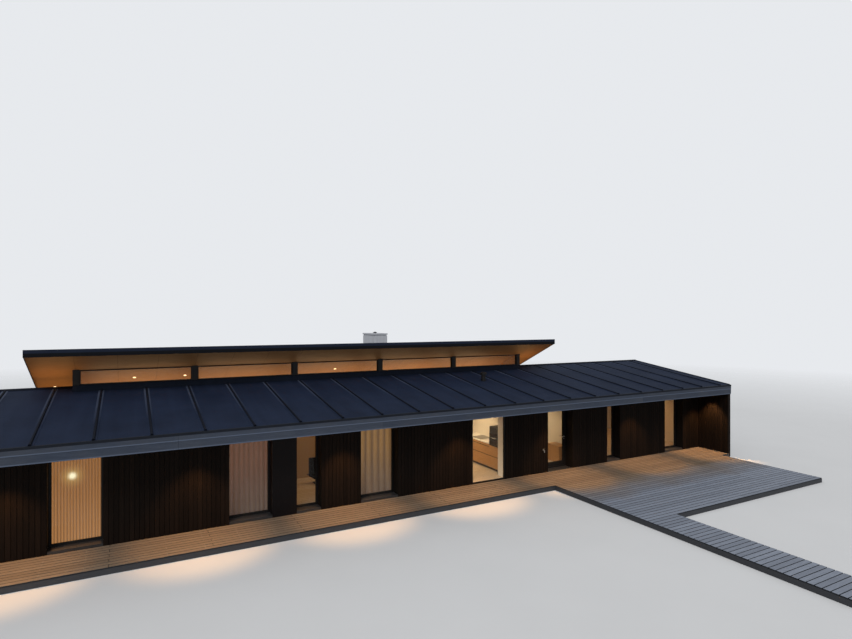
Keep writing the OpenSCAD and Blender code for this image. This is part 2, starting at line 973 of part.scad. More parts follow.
module kitchen_units() {
    color("#b0763a") {
        box([kitchen_x + front_t, kitchen_x + unit_d], [unit_y, unit_y + unit_l],
            [floor_z + plinth_h, floor_z + unit_top()]);
        box([kitchen_x + front_t, kitchen_x + unit_d], [oven_y, unit_y],
            [floor_z + plinth_h, floor_z + oven_h]);
        box([kitchen_x + plinth_in, kitchen_x + unit_d], [oven_y, unit_y + unit_l],
            [floor_z, floor_z + plinth_h]);
        for (i = [0 : unit_count - 1], row = [0 : len(rows) - 2])
            unit_front(unit_y + i * unit_pitch, unit_pitch, rows[row], rows[row + 1]);
        unit_front(oven_y, oven_w, plinth_h, oven_low);
        unit_front(oven_y, oven_w, oven_top, oven_h);
    }
}

module worktop() {
    color("white")
        box([kitchen_x - worktop_out, kitchen_x + unit_d], [unit_y, unit_y + unit_l],
            [floor_z + unit_top(), floor_z + worktop_h]);
}

// The oven's door with its bar handle, the control panel over it, and the hob
module oven() {
    door_top = floor_z + oven_top - control_h;
    bar_z = door_top - handle_drop;
    color("#1a1a1c") {
        box([kitchen_x - oven_out, kitchen_x + front_t],
            [oven_y + front_gap, unit_y - front_gap], [floor_z + oven_low, door_top]);
        box([kitchen_x - oven_out, kitchen_x + front_t],
            [oven_y + front_gap, unit_y - front_gap],
            [door_top + front_gap, floor_z + oven_top]);
        for (y = [oven_y + bracket_in, unit_y - bracket_in])
            translate([kitchen_x - oven_out - handle_out, y, bar_z])
                rotate([0, 90, 0])
                    cylinder(r = handle_r / 2, h = handle_out + 1);
        translate([kitchen_x - oven_out - handle_out, oven_y + handle_in, bar_z])
            rotate([-90, 0, 0])
                cylinder(r = handle_r, h = oven_w - 2 * handle_in);
        box([kitchen_x + hob_in, kitchen_x + hob_in + hob_d],
            [unit_y + unit_pitch, unit_y + 2 * unit_pitch],
            [floor_z + worktop_h, floor_z + worktop_h + hob_h]);
    }
}

module bench() {
    color("#a8703c") {
        box([bench_x, bench_x + bench_d], [bench_y, bench_y + bench_w],
            [floor_z, floor_z + bench_h - lid_t]);
        box([bench_x - lid_out, bench_x + bench_d], [bench_y - lid_out, bench_y + bench_w + lid_out],
            [floor_z + bench_h - lid_t, floor_z + bench_h]);
    }
}

curtain_t = 70;
curtain_in = 20;
curtain_y = -inner_y + curtain_in;
curtain_lift = 15;
curtain_side = 20;
rail_up = 20;
rail_h = 30;

module curtain_rails() {
    color("white")
        for (opening = curtain_windows)
            box([opening[0] - curtain_side, right_of(opening) + curtain_side],
                [-inner_y, curtain_y + curtain_t], [head_z + rail_up, head_z + rail_up + rail_h]);
}

module curtains() {
    color("#d8b98c")
        for (opening = curtain_windows)
            box([opening[0] - curtain_side, right_of(opening) + curtain_side],
                [curtain_y, curtain_y + curtain_t], [floor_z + curtain_lift, head_z + rail_up - seat]);
}

tap_x = 6435;
tap_z = 905;
tap_r = 14;
tap_out = 95;
tap_plate_r = 32;
tap_plate_h = 10;
tap_drop = 60;

// Outdoor tap: a round plate, a spout that turns down and a cross bar on top
module garden_tap() {
    color("silver")
        translate([tap_x, -half_d, tap_z]) {
            rotate([90, 0, 0]) {
                cylinder(r = tap_plate_r, h = tap_plate_h);
                cylinder(r = tap_r, h = tap_out);
            }
            translate([0, -tap_out, -tap_drop])
                cylinder(r = tap_r, h = tap_drop + tap_r);
            translate([0, -tap_out / 2, 0])
                cylinder(r = tap_r / 2, h = 3 * tap_r);
            translate([-tap_plate_r, -tap_out / 2, 3 * tap_r])
                rotate([0, 90, 0])
                    cylinder(r = tap_r / 2, h = 2 * tap_plate_r);
        }
}

floor_slab();
inner_floor();
inner_walls();
front_wall_left();
front_wall_middle();
front_wall_right();
smooth_panel();
back_wall();
end_walls();
fin_walls();
lintels();
front_roof();
back_roof();
roof_battens();
eave_fascias();
verge_boards();
eave_soffits();
lamps();
upper_posts();
upper_upstand();
upper_frames();
upper_glass();
upper_cheeks();
upper_roof();
upper_fascia();
chimney();
roof_vent();
window_frames();
window_glass();
window_sills();
door_frame();
door_leaf();
door_glass();
door_handle();
front_deck();
terrace();
walkway();
deck_joists();
kitchen_units();
worktop();
oven();
bench();
curtain_rails();
curtains();
garden_tap();
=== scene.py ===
import itertools
import math
import random

import bmesh
import bpy
from mathutils import Matrix, Vector


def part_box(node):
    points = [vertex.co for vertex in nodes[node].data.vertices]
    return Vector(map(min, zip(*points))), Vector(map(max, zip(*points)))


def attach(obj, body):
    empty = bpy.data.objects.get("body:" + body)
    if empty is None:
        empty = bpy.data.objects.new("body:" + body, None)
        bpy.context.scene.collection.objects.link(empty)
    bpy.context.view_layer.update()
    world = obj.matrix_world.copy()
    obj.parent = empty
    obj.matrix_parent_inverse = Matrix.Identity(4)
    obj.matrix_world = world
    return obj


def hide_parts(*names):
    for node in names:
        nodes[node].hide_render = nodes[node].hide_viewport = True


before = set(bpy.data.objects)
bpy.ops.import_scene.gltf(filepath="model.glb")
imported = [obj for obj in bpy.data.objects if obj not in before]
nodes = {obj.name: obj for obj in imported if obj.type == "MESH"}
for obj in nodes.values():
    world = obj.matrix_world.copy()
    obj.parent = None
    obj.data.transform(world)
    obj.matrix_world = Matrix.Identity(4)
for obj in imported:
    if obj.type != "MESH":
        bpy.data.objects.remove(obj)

scene = bpy.context.scene
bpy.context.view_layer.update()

# The view: from in front of the house's left part, at about twice the eave's height, level,
# and turned to the right. The lens is given by its focal length in pixels of the picture,
# which is 852 wide and 639 high with its horizon just under the middle.
picture_w = 852
picture_h = 639
focal_px = 554
horizon_px = 320.84
sensor_mm = 36
eye = Vector((-5.864, -17.820, 5.258))
turned_right = math.radians(28.32)

camera_data = bpy.data.cameras.new("view")
camera_data.sensor_width = sensor_mm
camera_data.lens = focal_px / picture_w * sensor_mm
camera_data.shift_y = (horizon_px - picture_h / 2) / picture_w
camera_data.clip_end = 400
camera = bpy.data.objects.new("view", camera_data)
camera.location = eye
camera.rotation_euler = (math.radians(90), 0, -turned_right)
scene.collection.objects.link(camera)
scene.camera = camera
scene.view_settings.view_transform = "Standard"


# The studio: a plain pale floor that fades out into a plain pale backdrop, an even light all
# round and one broad lamp high on the left. The two classes here make every finish.
class Wire:
    """A socket in a finish. Arithmetic on wires adds the Math nodes."""

    def __init__(self, finish, socket):
        self.finish = finish
        self.socket = socket

    def out(self, name):
        return Wire(self.finish, self.socket.node.outputs[name])

    def __add__(self, other):
        return self.finish.math("ADD", self, other)

    def __sub__(self, other):
        return self.finish.math("SUBTRACT", self, other)

    def __rsub__(self, other):
        return self.finish.math("SUBTRACT", other, self)

    def __mul__(self, other):
        return self.finish.math("MULTIPLY", self, other)

    def __truediv__(self, other):
        return self.finish.math("DIVIDE", self, other)

    def __rtruediv__(self, other):
        return self.finish.math("DIVIDE", other, self)

    def __mod__(self, other):
        return self.finish.math("FLOORED_MODULO", self, other)

    def __pow__(self, other):
        return self.finish.math("POWER", self, other)

    def __gt__(self, other):
        return self.finish.math("GREATER_THAN", self, other)

    def __lt__(self, other):
        return self.finish.math("LESS_THAN", self, other)

    def __abs__(self):
        return self.finish.math("ABSOLUTE", self)

    __radd__ = __add__
    __rmul__ = __mul__


class Finish:
    """A node material: what stays the same is set on its shader, patterns come from nodes."""

    def __init__(self, name, constants):
        self.material = bpy.data.materials.new(name)
        self.material.use_nodes = True
        self.tree = self.material.node_tree
        self.shader = self.tree.nodes["Principled BSDF"]
        self.place = self.node("TexCoord", {}, {}, out="Object")
        for socket, value in constants.items():
            self.feed(self.shader.inputs[socket], value)

    def feed(self, socket, value):
        if isinstance(value, Wire):
            self.tree.links.new(value.socket, socket)
        elif socket.type == "RGBA":
            socket.default_value = (*value, 1)
        else:
            socket.default_value = value

    def node(self, kind, settings, sockets, out=0):
        made = self.tree.nodes.new("ShaderNode" + kind)
        for name, value in settings.items():
            setattr(made, name, value)
        for name, value in sockets.items():
            self.feed(made.inputs[name], value)
        return Wire(self, made.outputs[out])

    def math(self, operation, *values):
        return self.node("Math", {"operation": operation}, dict(enumerate(values)))

    def vector(self, operation, *values):
        return self.node("VectorMath", {"operation": operation}, dict(enumerate(values)))

    def mix(self, factor, first, second):
        colours = {0: factor, 6: first, 7: second}
        return self.node("Mix", {"data_type": "RGBA"}, colours, out=2)

    def span(self, value, low, high):
        """0 at low, 1 at high, and a straight line between them."""
        return self.node("MapRange", {}, {"Value": value, "From Min": low, "From Max": high})

    def axes(self):
        """The place on the house as three numbers, in metres."""
        split = self.node("SeparateXYZ", {}, {0: self.place}, out="X")
        return split, split.out("Y"), split.out("Z")

    def noise(self, scale, detail=3, rough=0.5, place=None):
        sockets = {"Vector": place or self.place, "Scale": scale, "Detail": detail,
                   "Roughness": rough}
        return self.node("TexNoise", {}, sockets)

    def streaks(self, stretch, detail=5, rough=0.5, place=None):
        """Noise drawn out along an axis, like fibres, brush marks or rain."""
        drawn = self.vector("MULTIPLY", place or self.place, stretch)
        return self.noise(1, detail, rough, drawn)

    def tone(self):
        """What each board was given when it was made, from 0 to 1."""
        return self.node("Attribute", {"attribute_name": "tone"}, {}, out="Fac")

    def paint(self, colour, height=None, relief=0.001, roughness=None):
        self.feed(self.shader.inputs["Base Color"], colour)
        if roughness is not None:
            self.feed(self.shader.inputs["Roughness"], roughness)
        if height is not None:
            bump = self.node("Bump", {}, {"Height": height, "Distance": relief})
            self.feed(self.shader.inputs["Normal"], bump)

    def dress(self, *names):
        for name in names:
            for slot in nodes[name].material_slots:
                slot.material = self.material


def times(colour, part):
    """The colour made darker or lighter."""
    return [c * part for c in colour]


backdrop_pale = (0.80, 0.82, 0.85)
floor_pale = (0.56, 0.56, 0.56)
floor_r = 90
fade_from = 26
fade_to = 60
surround_strength = 0.62
key_strength = 1.9
key_turn = (math.radians(48), 0, math.radians(-38))

studio_floor = Finish("studio_floor", {"Roughness": 0.9, "Specular IOR Level": 0.1})
grit = studio_floor.noise(0.6, 4)
studio_floor.paint(studio_floor.mix(grit, floor_pale, times(floor_pale, 1.06)))
from_middle = studio_floor.vector("LENGTH", studio_floor.place).out("Value")
far = studio_floor.span(from_middle, fade_from, fade_to)
clear = Wire(studio_floor, studio_floor.tree.nodes.new("ShaderNodeBsdfTransparent").outputs[0])
opaque = Wire(studio_floor, studio_floor.shader.outputs[0])
faded = studio_floor.node("MixShader", {}, {0: far, 1: opaque, 2: clear})
studio_floor.feed(studio_floor.tree.nodes["Material Output"].inputs["Surface"], faded)

bm = bmesh.new()
bmesh.ops.create_circle(bm, cap_ends=True, radius=floor_r, segments=96)
bm.normal_update()
floor_mesh = bpy.data.meshes.new("studio_floor")
bm.to_mesh(floor_mesh)
bm.free()
floor_mesh.materials.append(studio_floor.material)
floor = bpy.data.objects.new("studio_floor", floor_mesh)
scene.collection.objects.link(floor)

world = bpy.data.worlds.new("surround")
scene.world = world
world.use_nodes = True
surround = world.node_tree
even = surround.nodes["Background"]
even.inputs["Color"].default_value = (0.93, 0.96, 1, 1)
even.inputs["Strength"].default_value = surround_strength
backdrop = surround.nodes.new("ShaderNodeBackground")
backdrop.inputs["Color"].default_value = (*backdrop_pale, 1)
ray = surround.nodes.new("ShaderNodeLightPath")
seen = surround.nodes.new("ShaderNodeMath")
seen.operation = "MAXIMUM"
surround.links.new(ray.outputs["Is Camera Ray"], seen.inputs[0])
surround.links.new(ray.outputs["Is Transmission Ray"], seen.inputs[1])
either = surround.nodes.new("ShaderNodeMixShader")
for source, socket in ((seen, 0), (even, 1), (backdrop, 2)):
    surround.links.new(source.outputs[0], either.inputs[socket])
surround.links.new(either.outputs[0], surround.nodes["World Output"].inputs["Surface"])

key_data = bpy.data.lights.new("key", "SUN")
key_data.energy = key_strength
key_data.angle = math.radians(25)
key = bpy.data.objects.new("key", key_data)
key.rotation_euler = key_turn
scene.collection.objects.link(key)

# The house stands on a cast concrete slab, and the rooms have a floor of pale oiled boards.
# Both stay as the plain slabs that they are, and the boards' joints are in the finish.
plank_w = 0.14
plank_l = 2.4
plank_gap = 0.0035
plank_light = (0.66, 0.56, 0.42)
plank_dark = (0.50, 0.40, 0.28)


def at_joint(value, pitch, gap):
    """1 within gap of the joints of boards that lie pitch apart, and 0 elsewhere."""
    return abs((value / pitch) % 1 - 0.5) > 0.5 - gap / pitch


concrete = Finish("concrete", {"Roughness": 0.85})
cloudy = concrete.noise(1.3, 6, 0.6)
pores = concrete.noise(90, 2)
concrete.paint(concrete.mix(cloudy, (0.30, 0.30, 0.29), (0.50, 0.49, 0.47)),
               cloudy + pores * 0.3, 0.002)
concrete.dress("floor_slab")

planks = Finish("floor_planks", {"Coat Weight": 0.1})
along, across, _ = planks.axes()
row = planks.math("FLOOR", across / plank_w)
shift = planks.node("TexWhiteNoise", {"noise_dimensions": "1D"}, {"W": row}) * plank_l
step = planks.math("FLOOR", (along + shift) / plank_l)
one = planks.node("TexWhiteNoise", {"noise_dimensions": "1D"}, {"W": row * 13 + step})
plank_joint = planks.math("MAXIMUM", at_joint(across, plank_w, plank_gap),
                          at_joint(along + shift, plank_l, plank_gap))
fibre = planks.streaks((1.6, 34, 34), 6, 0.6)
plank_colour = planks.mix(fibre * 0.6 + one * 0.4, plank_dark, plank_light)
planks.paint(planks.mix(plank_joint, plank_colour, (0.06, 0.04, 0.03)),
             fibre * 0.3 - plank_joint, 0.0008, 0.35 + fibre * 0.2)
planks.dress("inner_floor")

# The outer walls are insulated timber walls. Outside they are clad, and behind the cladding
# lies a black weather board; inside they are smooth painted plaster. The kitchen's glass
# stands at the face of the wall, so there the reveal behind it is painted too.
lining_white = (0.80, 0.76, 0.67)
wall_black = (0.0045, 0.0034, 0.0028)
back_low, back_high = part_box("back_wall")
half_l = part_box("end_walls")[1].x
half_d = back_high.y
inner_y = back_low.y
inner_x = half_l - (half_d - inner_y)
skin = 0.012


def solids(name):
    """The box of each separate solid in a node, from left to right."""
    bm = bmesh.new()
    bm.from_mesh(nodes[name].data)
    bmesh.ops.remove_doubles(bm, verts=bm.verts, dist=1e-5)
    boxes = []
    unseen = set(bm.verts)
    while unseen:
        newest = [unseen.pop()]
        group = list(newest)
        while newest:
            vert = newest.pop()
            for edge in vert.link_edges:
                other = edge.other_vert(vert)
                if other in unseen:
                    unseen.remove(other)
                    newest.append(other)
                    group.append(other)
        places = [vert.co for vert in group]
        boxes.append((Vector([min(p[i] for p in places) for i in range(3)]),
                      Vector([max(p[i] for p in places) for i in range(3)])))
    bm.free()
    return sorted(boxes, key=lambda box: (round(box[0].x, 4), box[0].y, box[0].z))


def at_kitchen_glass(x):
    return (x > glazed_low.x - skin) * (x < glazed_high.x + skin)


flush_out = 0.2
glazed_low, glazed_high = next(box for box in solids("window_frames")
                               if box[0].y < -inner_y - flush_out)

walls = Finish("walls", {"Specular IOR Level": 0.1})
wall_x, wall_y, _ = walls.axes()
indoors = (abs(wall_y) < inner_y + skin) * (abs(wall_x) < inner_x + skin)
behind_glass = at_kitchen_glass(wall_x) * (abs(wall_y) < -glazed_high.y + skin)
painted = walls.math("MAXIMUM", indoors, behind_glass)
trowel = walls.noise(7, 5, 0.6)
stain = walls.streaks((30, 30, 1.5))
plaster_colour = walls.mix(trowel, times(lining_white, 0.95), lining_white)
board_colour = walls.mix(stain, wall_black, times(wall_black, 1.6))
walls.paint(walls.mix(painted, board_colour, plaster_colour),
            trowel * 0.4 + stain * 0.3, 0.0015, 0.6 + painted * 0.2)
front_walls = ["front_wall_left", "front_wall_middle", "front_wall_right"]
walls.dress(*front_walls, "back_wall", "end_walls", "fin_walls", "lintels")

# Painted light: the nook's plaster is painted darker and warmer, as the dim warm lamplight on it.
nook_painted_warm_shade = (0.42, 0.28, 0.14)
plaster = Finish("plaster", {"Roughness": 0.8})
brushed = plaster.noise(7, 5, 0.6)
in_nook = plaster.axes()[0] < 0
wall_shade = plaster.mix(brushed, times(lining_white, 0.95), lining_white)
plaster.paint(plaster.mix(in_nook, wall_shade, nook_painted_warm_shade), brushed, 0.0012)
plaster.dress("inner_walls")

# The cladding: upright black-stained boards with narrow open joints, nailed to battens on
# every outer wall and on both faces of the fins that carry on under the eaves. Smooth
# architraves stand beside the glazed kitchen wall and the terrace door.
board_pitch = 0.106
board_gap = 0.010
board_t = 0.018
board_foot = 0.012
end_foot = 0.04
head_gap = 0.002
architrave_w = 0.094
fin_t = 0.11
clad_l = half_l - fin_t - board_t
deck_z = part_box("front_deck")[1].z
soffit_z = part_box("eave_soffits")[0].z
board_top = soffit_z - head_gap
chance = random.Random(7)


def add_board(bm, low, high, tone):
    """A cuboid between two corners. Its tone varies the timber."""
    low = Vector(low)
    high = Vector(high)
    size = high - low
    put = Matrix.Translation((low + high) / 2) @ Matrix.Diagonal((*size, 1))
    verts = bmesh.ops.create_cube(bm, size=1, matrix=put)["verts"]
    layer = bm.verts.layers.float["tone"]
    for vert in verts:
        vert[layer] = tone
    return verts


def new_boards():
    bm = bmesh.new()
    bm.verts.layers.float.new("tone")
    return bm


def make_piece(name, bm, finish, edge=0.002, rounds=1, body="house", smooth=False):
    """The finished object of a mesh, with its arrises eased by edge."""
    mesh = bpy.data.meshes.new(name)
    bm.to_mesh(mesh)
    bm.free()
    mesh.materials.append(finish.material)
    piece = bpy.data.objects.new(name, mesh)
    scene.collection.objects.link(piece)
    if edge:
        eased = piece.modifiers.new("eased", "BEVEL")
        eased.width = edge
        eased.segments = rounds
        eased.limit_method = "ANGLE"
    if smooth:
        mesh.shade_smooth()
    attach(piece, body)
    return piece


def year_rings(fibre):
    return abs((fibre * 7) % 1 - 0.5) * 2


# The deck is browner from here in towards the house: partly timber sheltered by the eave, partly a
# painted pool of the eave lamps' warm light.
shelter_and_pool_out_y = -5.9
shelter_and_pool_in_y = -4.3


def timber(name, dark, light, along, sizes=(0.55, 0.0006), spread=0.45, grain=30, aged=0,
           shine=0.5, sides=0, under=(), pale_strip_heights=(), strip_h=0.034):
    """Timber with its fibres along one axis. sizes are the roughness and the relief.

    Below a given height its sides are painted near black, as the shade in the open joints
    between the boards. Where the front eave shelters it, it takes the two browner colours of
    under: partly timber out of the sun and rain, partly a painted pool of warm light from the
    eave's lamps. A paler strip, strip_h high, is painted over each of a list of heights.
    """
    roughness, relief = sizes
    finish = Finish(name, {"Specular IOR Level": shine})
    tone = finish.tone()
    offset = finish.node("CombineXYZ", {}, {0: tone * 31, 1: tone * 17, 2: tone * 23})
    place = finish.vector("ADD", finish.place, offset)
    stretch = [grain] * 3
    stretch[along] = grain / 22
    fibre = finish.streaks(stretch, 6, 0.62, place)
    rings = year_rings(fibre)
    fine = [grain * 5] * 3
    fine[along] = grain / 5
    pores = finish.streaks(fine, 3, 0.7, place)
    shade = rings * 0.35 + fibre * 0.4 + pores * 0.25
    colour = finish.mix(shade, dark, light)
    colour = finish.mix(tone * spread, colour, dark)
    # Partly painted light: browner towards the house, where the eave shelters the boards and where
    # its lamps pool warm light.
    if under:
        y = finish.axes()[1]
        edge = finish.noise(0.8) * 1.4
        sheltered_and_lamplit = finish.span(y + edge, shelter_and_pool_out_y, shelter_and_pool_in_y)
        kept_and_lamplit_colour = finish.mix(tone * spread, finish.mix(shade, *under), under[0])
        colour = finish.mix(sheltered_and_lamplit, colour, kept_and_lamplit_colour)
    if aged:
        patch = finish.noise(1.1, 5, 0.6, place)
        grey = sum(light) / 3
        worn = finish.span(patch, 0.35, 0.75) * aged
        colour = finish.mix(worn, colour, (grey, grey, grey * 1.03))
    # Painted shade: below the given height the boards' sides are painted near black, as the shade
    # in the open joints.
    if sides:
        z = finish.axes()[2]
        colour = finish.mix(z < sides, colour, times(dark, 0.12))
    # A paler strip is painted just above each given height.
    for height in pale_strip_heights:
        above = finish.axes()[2] - height
        strip = finish.span(above, strip_h, strip_h * 0.6) * (above > 0)
        colour = finish.mix(strip * 0.75, colour, times(light, 1.7))
    finish.paint(colour, rings * 0.5 + pores * 0.6, relief, roughness - 0.1 + pores * 0.2)
    return finish


black_boards = timber("black_boards", (0.0028, 0.0019, 0.0015), (0.0150, 0.0092, 0.0063), 2,
                      sizes=(0.6, 0.0012), spread=0.6, shine=0.06)


def parted(length, about):
    """How many equal parts of about one size fill a length, and how long each is."""
    count = max(1, round(length / about))
    return count, length / count


def upright_boards(start, end, put):
    """Fills a stretch with boards of one width. put places a board from its two sides."""
    count, pitch = parted(end - start, board_pitch)
    for i in range(count):
        put(start + i * pitch + board_gap / 2, start + (i + 1) * pitch - board_gap / 2)


door_low, door_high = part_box("door_frame")
architrave_sides = [glazed_low.x, glazed_high.x, door_low.x, door_high.x]
front = new_boards()


def put_front(left, right):
    add_board(front, (left, -half_d - board_t, deck_z + board_foot),
              (right, -half_d, board_top), chance.random())


for low, high in itertools.chain.from_iterable(map(solids, front_walls)):
    start = max(low.x, -clad_l)
    end = min(high.x, clad_l)
    if any(abs(start - side) < skin for side in architrave_sides):
        put_front(start, start + architrave_w)
        start += architrave_w + board_gap / 2
    if any(abs(end - side) < skin for side in architrave_sides):
        put_front(end - architrave_w, end)
        end -= architrave_w + board_gap / 2
    upright_boards(start, end, put_front)
make_piece("front_cladding", front, black_boards)

rear = new_boards()
for low, high in solids("back_wall"):
    def put_rear(left, right):
        add_board(rear, (left, half_d, low.z), (right, half_d + board_t, board_top),
                  chance.random())

    upright_boards(max(low.x, -clad_l), min(high.x, clad_l), put_rear)
make_piece("back_cladding", rear, black_boards)

roof_low, roof_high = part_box("front_roof")
roof_t = 0.26
ridge_z = roof_high.z
fall = (ridge_z - roof_t - roof_low.z) / -roof_low.y
fin_y = -roof_low.y
draft_top = 1


def roof_top(y):
    return ridge_z - abs(y) * fall


for side, side_name in ((-1, "left"), (1, "right")):
    ends = new_boards()

    def put_end(near, far):
        """An end board, whose top is then raised to the underside of the slope."""
        verts = add_board(ends, (half_l, near, end_foot), (half_l + board_t, far, draft_top),
                          chance.random())
        for vert in verts:
            if vert.co.z > draft_top / 2:
                vert.co.z = roof_top(vert.co.y) - roof_t - head_gap
            vert.co.x *= side

    upright_boards(-fin_y - board_t, 0, put_end)
    upright_boards(0, fin_y + board_t, put_end)
    bmesh.ops.recalc_face_normals(ends, faces=ends.faces)
    make_piece(side_name + "_end_cladding", ends, black_boards)

fins = new_boards()
for side in (-1, 1):
    for out in (-1, 1):
        def put_fin(near, far):
            xs = sorted((side * clad_l, side * (half_l - fin_t)))
            ys = sorted((out * near, out * far))
            foot = deck_z + board_foot if out < 0 else end_foot
            add_board(fins, (xs[0], ys[0], foot), (xs[1], ys[1], board_top), chance.random())

        upright_boards(half_d + board_t, fin_y, put_fin)
        xs = sorted((side * clad_l, side * half_l))
        ys = sorted((out * fin_y, out * (fin_y + board_t)))
        add_board(fins, (xs[0], ys[0], end_foot), (xs[1], ys[1], board_top), 0.5)
make_piece("fin_cladding", fins, black_boards)

# The panel between the hall and nook windows is one smooth black-stained board. It has a
# faint satin sheen and an upright grain, and it stays as it was cut.
smooth_black = timber("smooth_black", (0.0040, 0.0032, 0.0034), (0.0085, 0.0068, 0.0070), 2,
                      sizes=(0.42, 0.0003), spread=0, shine=0.08)
smooth_black.dress("smooth_panel")

# The main roof: two low slopes of slate-coloured felt on boarding. Its underside is the
# rooms' ceiling of pine boards. The felt has a fine stony grit, and rain leaves faint
# streaks down the slope.
felt_dark = (0.0035, 0.0075, 0.0200)
felt_light = (0.0110, 0.0190, 0.0430)
pine_dark = (0.23, 0.112, 0.042)
pine_light = (0.42, 0.228, 0.098)
ceiling_board = 0.12
ceiling_gap = 0.0036


def felt_and_pine(name, on_top, joints, shade=(1, 1, 1), fades=0):
    """Felt where on_top is 1 and pine boards with joints elsewhere, both functions of place.

    shade multiplies the felt's colour, to paint lit or shaded copies of it. Where a fade length is
    set, that painted light is at its fullest near the ridge and fades to the felt's own colour
    down the slope, as a painted reflection of the glowing raised windows.
    """
    finish = Finish(name, {"Specular IOR Level": 0.12})
    x, y, z = finish.axes()
    felted = on_top(x, y, z)
    grit = finish.noise(260, 2, 0.7)
    blotch = finish.noise(0.9, 6, 0.6)
    streak = finish.streaks((5, 0.35, 0.35), 4)
    felt_shade = finish.span(blotch * 0.5 + streak * 0.3 + grit * 0.2, 0.3, 0.7)
    shaded = [[c * part for c, part in zip(felt, shade)] for felt in (felt_dark, felt_light)]
    felt_colour = finish.mix(felt_shade, *shaded)
    # Painted reflection: the painted light is strongest near the ridge and fades down the slope.
    if fades:
        faded = finish.span(abs(y), 0.7, fades)
        felt_colour = finish.mix(faded, felt_colour, finish.mix(felt_shade, felt_dark, felt_light))
    fibre = finish.streaks((1.5, 30, 30), 6, 0.62)
    rings = year_rings(fibre)
    joint = joints(x, y, z)
    pine_colour = finish.mix(rings * 0.4 + fibre * 0.6, pine_dark, pine_light)
    pine_colour = finish.mix(joint, pine_colour, (0.05, 0.025, 0.012))
    height = finish.node("Mix", {}, {0: felted, 2: rings * 0.3 - joint, 3: grit + blotch * 0.4})
    finish.paint(finish.mix(felted, pine_colour, felt_colour), height, 0.0015,
                 0.5 + felted * 0.28)
    return finish


main_roof = felt_and_pine(
    "main_roof",
    lambda x, y, z: z > roof_top(y) - roof_t / 2,
    lambda x, y, z: at_joint(y, ceiling_board, ceiling_gap))
main_roof.dress("front_roof", "back_roof")


def plain_felt(name, shade, fades=0):
    return felt_and_pine(name, lambda x, y, z: z > -1,
                         lambda x, y, z: z < -1, shade, fades)


# Painted shade: the batten caps and the ridge cap are a darker copy of the felt.
cap_felt_painted_shade = plain_felt("cap_felt_painted_shade", (0.3, 0.3, 0.3))
# Painted highlight: the lap strips are a much lighter copy of the felt, as a glint of light that
# is brightest near the ridge.
lap_felt_painted_glint = plain_felt("lap_felt_painted_glint", (6.0, 4.2, 2.8), fades=3.4)
# Painted shade: the upstand and the verge rolls are a darker copy of the felt.
edge_felt_painted_shade = plain_felt("edge_felt_painted_shade", (0.7, 0.6, 0.5))
edge_felt_painted_shade.dress("upper_upstand")

# Wooden battens run down both slopes and up the raised roof. A cap of felt, painted darker as
# the shade on the rib, covers each one and its end over the eave, and strips lap onto the slope
# on both sides, painted lighter as a glint of light. A low cap closes the ridge, and felted
# rolls, painted darker as shade, edge the verges.
batten_pitch = 1.08
batten_side = 13
cap_w = 0.028
cap_h = 0.038
strip_in = 0.020
strip_out = 0.066
strip_t = 0.007
strip_lift = 0.0006
nub_l = 0.05
ridge_start = 0.105
band_play = 0.005
upper_eave_in = 0.11
batten_gap = 0.02
cap_outline = [(-cap_w, 0), (-cap_w * 0.62, cap_h), (cap_w * 0.62, cap_h), (cap_w, 0)]
nub_outline = [(u * 1.25, v * 1.15) for u, v in cap_outline]
strips = [[(side * strip_in, strip_lift), (side * strip_in, strip_t * 1.3),
           (side * strip_out, strip_t), (side * (strip_out + 0.004), strip_lift)]
          for side in (-1, 1)]
upper_low, upper_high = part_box("upper_roof")
band_low, band_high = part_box("upper_upstand")


def add_run(bm, outline, start, end, side):
    """An outline drawn sideways and upwards at start, run to end as a closed bar."""
    start = Vector(start)
    end = Vector(end)
    side = Vector(side)
    up = side.cross(end - start).normalized()
    if up.z < 0:
        up = -up
    verts = [bm.verts.new(start + side * u + up * v) for u, v in outline]
    face = bm.faces.new(verts)
    grown = bmesh.ops.extrude_face_region(bm, geom=[face])["geom"]
    moved = [item for item in grown if isinstance(item, bmesh.types.BMVert)]
    bmesh.ops.translate(bm, verts=moved, vec=end - start)


def closed(bm):
    bmesh.ops.recalc_face_normals(bm, faces=bm.faces)
    return bm


upper_rise = solids("upper_roof")[0][1].z - roof_top(upper_high.y)
upper_fall = upper_rise / (upper_high.y - upper_low.y)
caps = bmesh.new()
laps = bmesh.new()


def felted_batten(x, y_high, y_low, top):
    """A batten's cap, its end over the eave and its two strips, from y_high down to y_low."""
    nub_y = y_low + math.copysign(nub_l, y_high - y_low)
    add_run(caps, cap_outline, (x, y_high, top(y_high)), (x, y_low, top(y_low)), (1, 0, 0))
    add_run(caps, nub_outline, (x, nub_y, top(nub_y)), (x, y_low, top(y_low)), (1, 0, 0))
    for strip in strips:
        add_run(laps, strip, (x, y_high, top(y_high)), (x, y_low, top(y_low)), (1, 0, 0))


def upper_top(y):
    return upper_high.z - (y - upper_low.y) * upper_fall


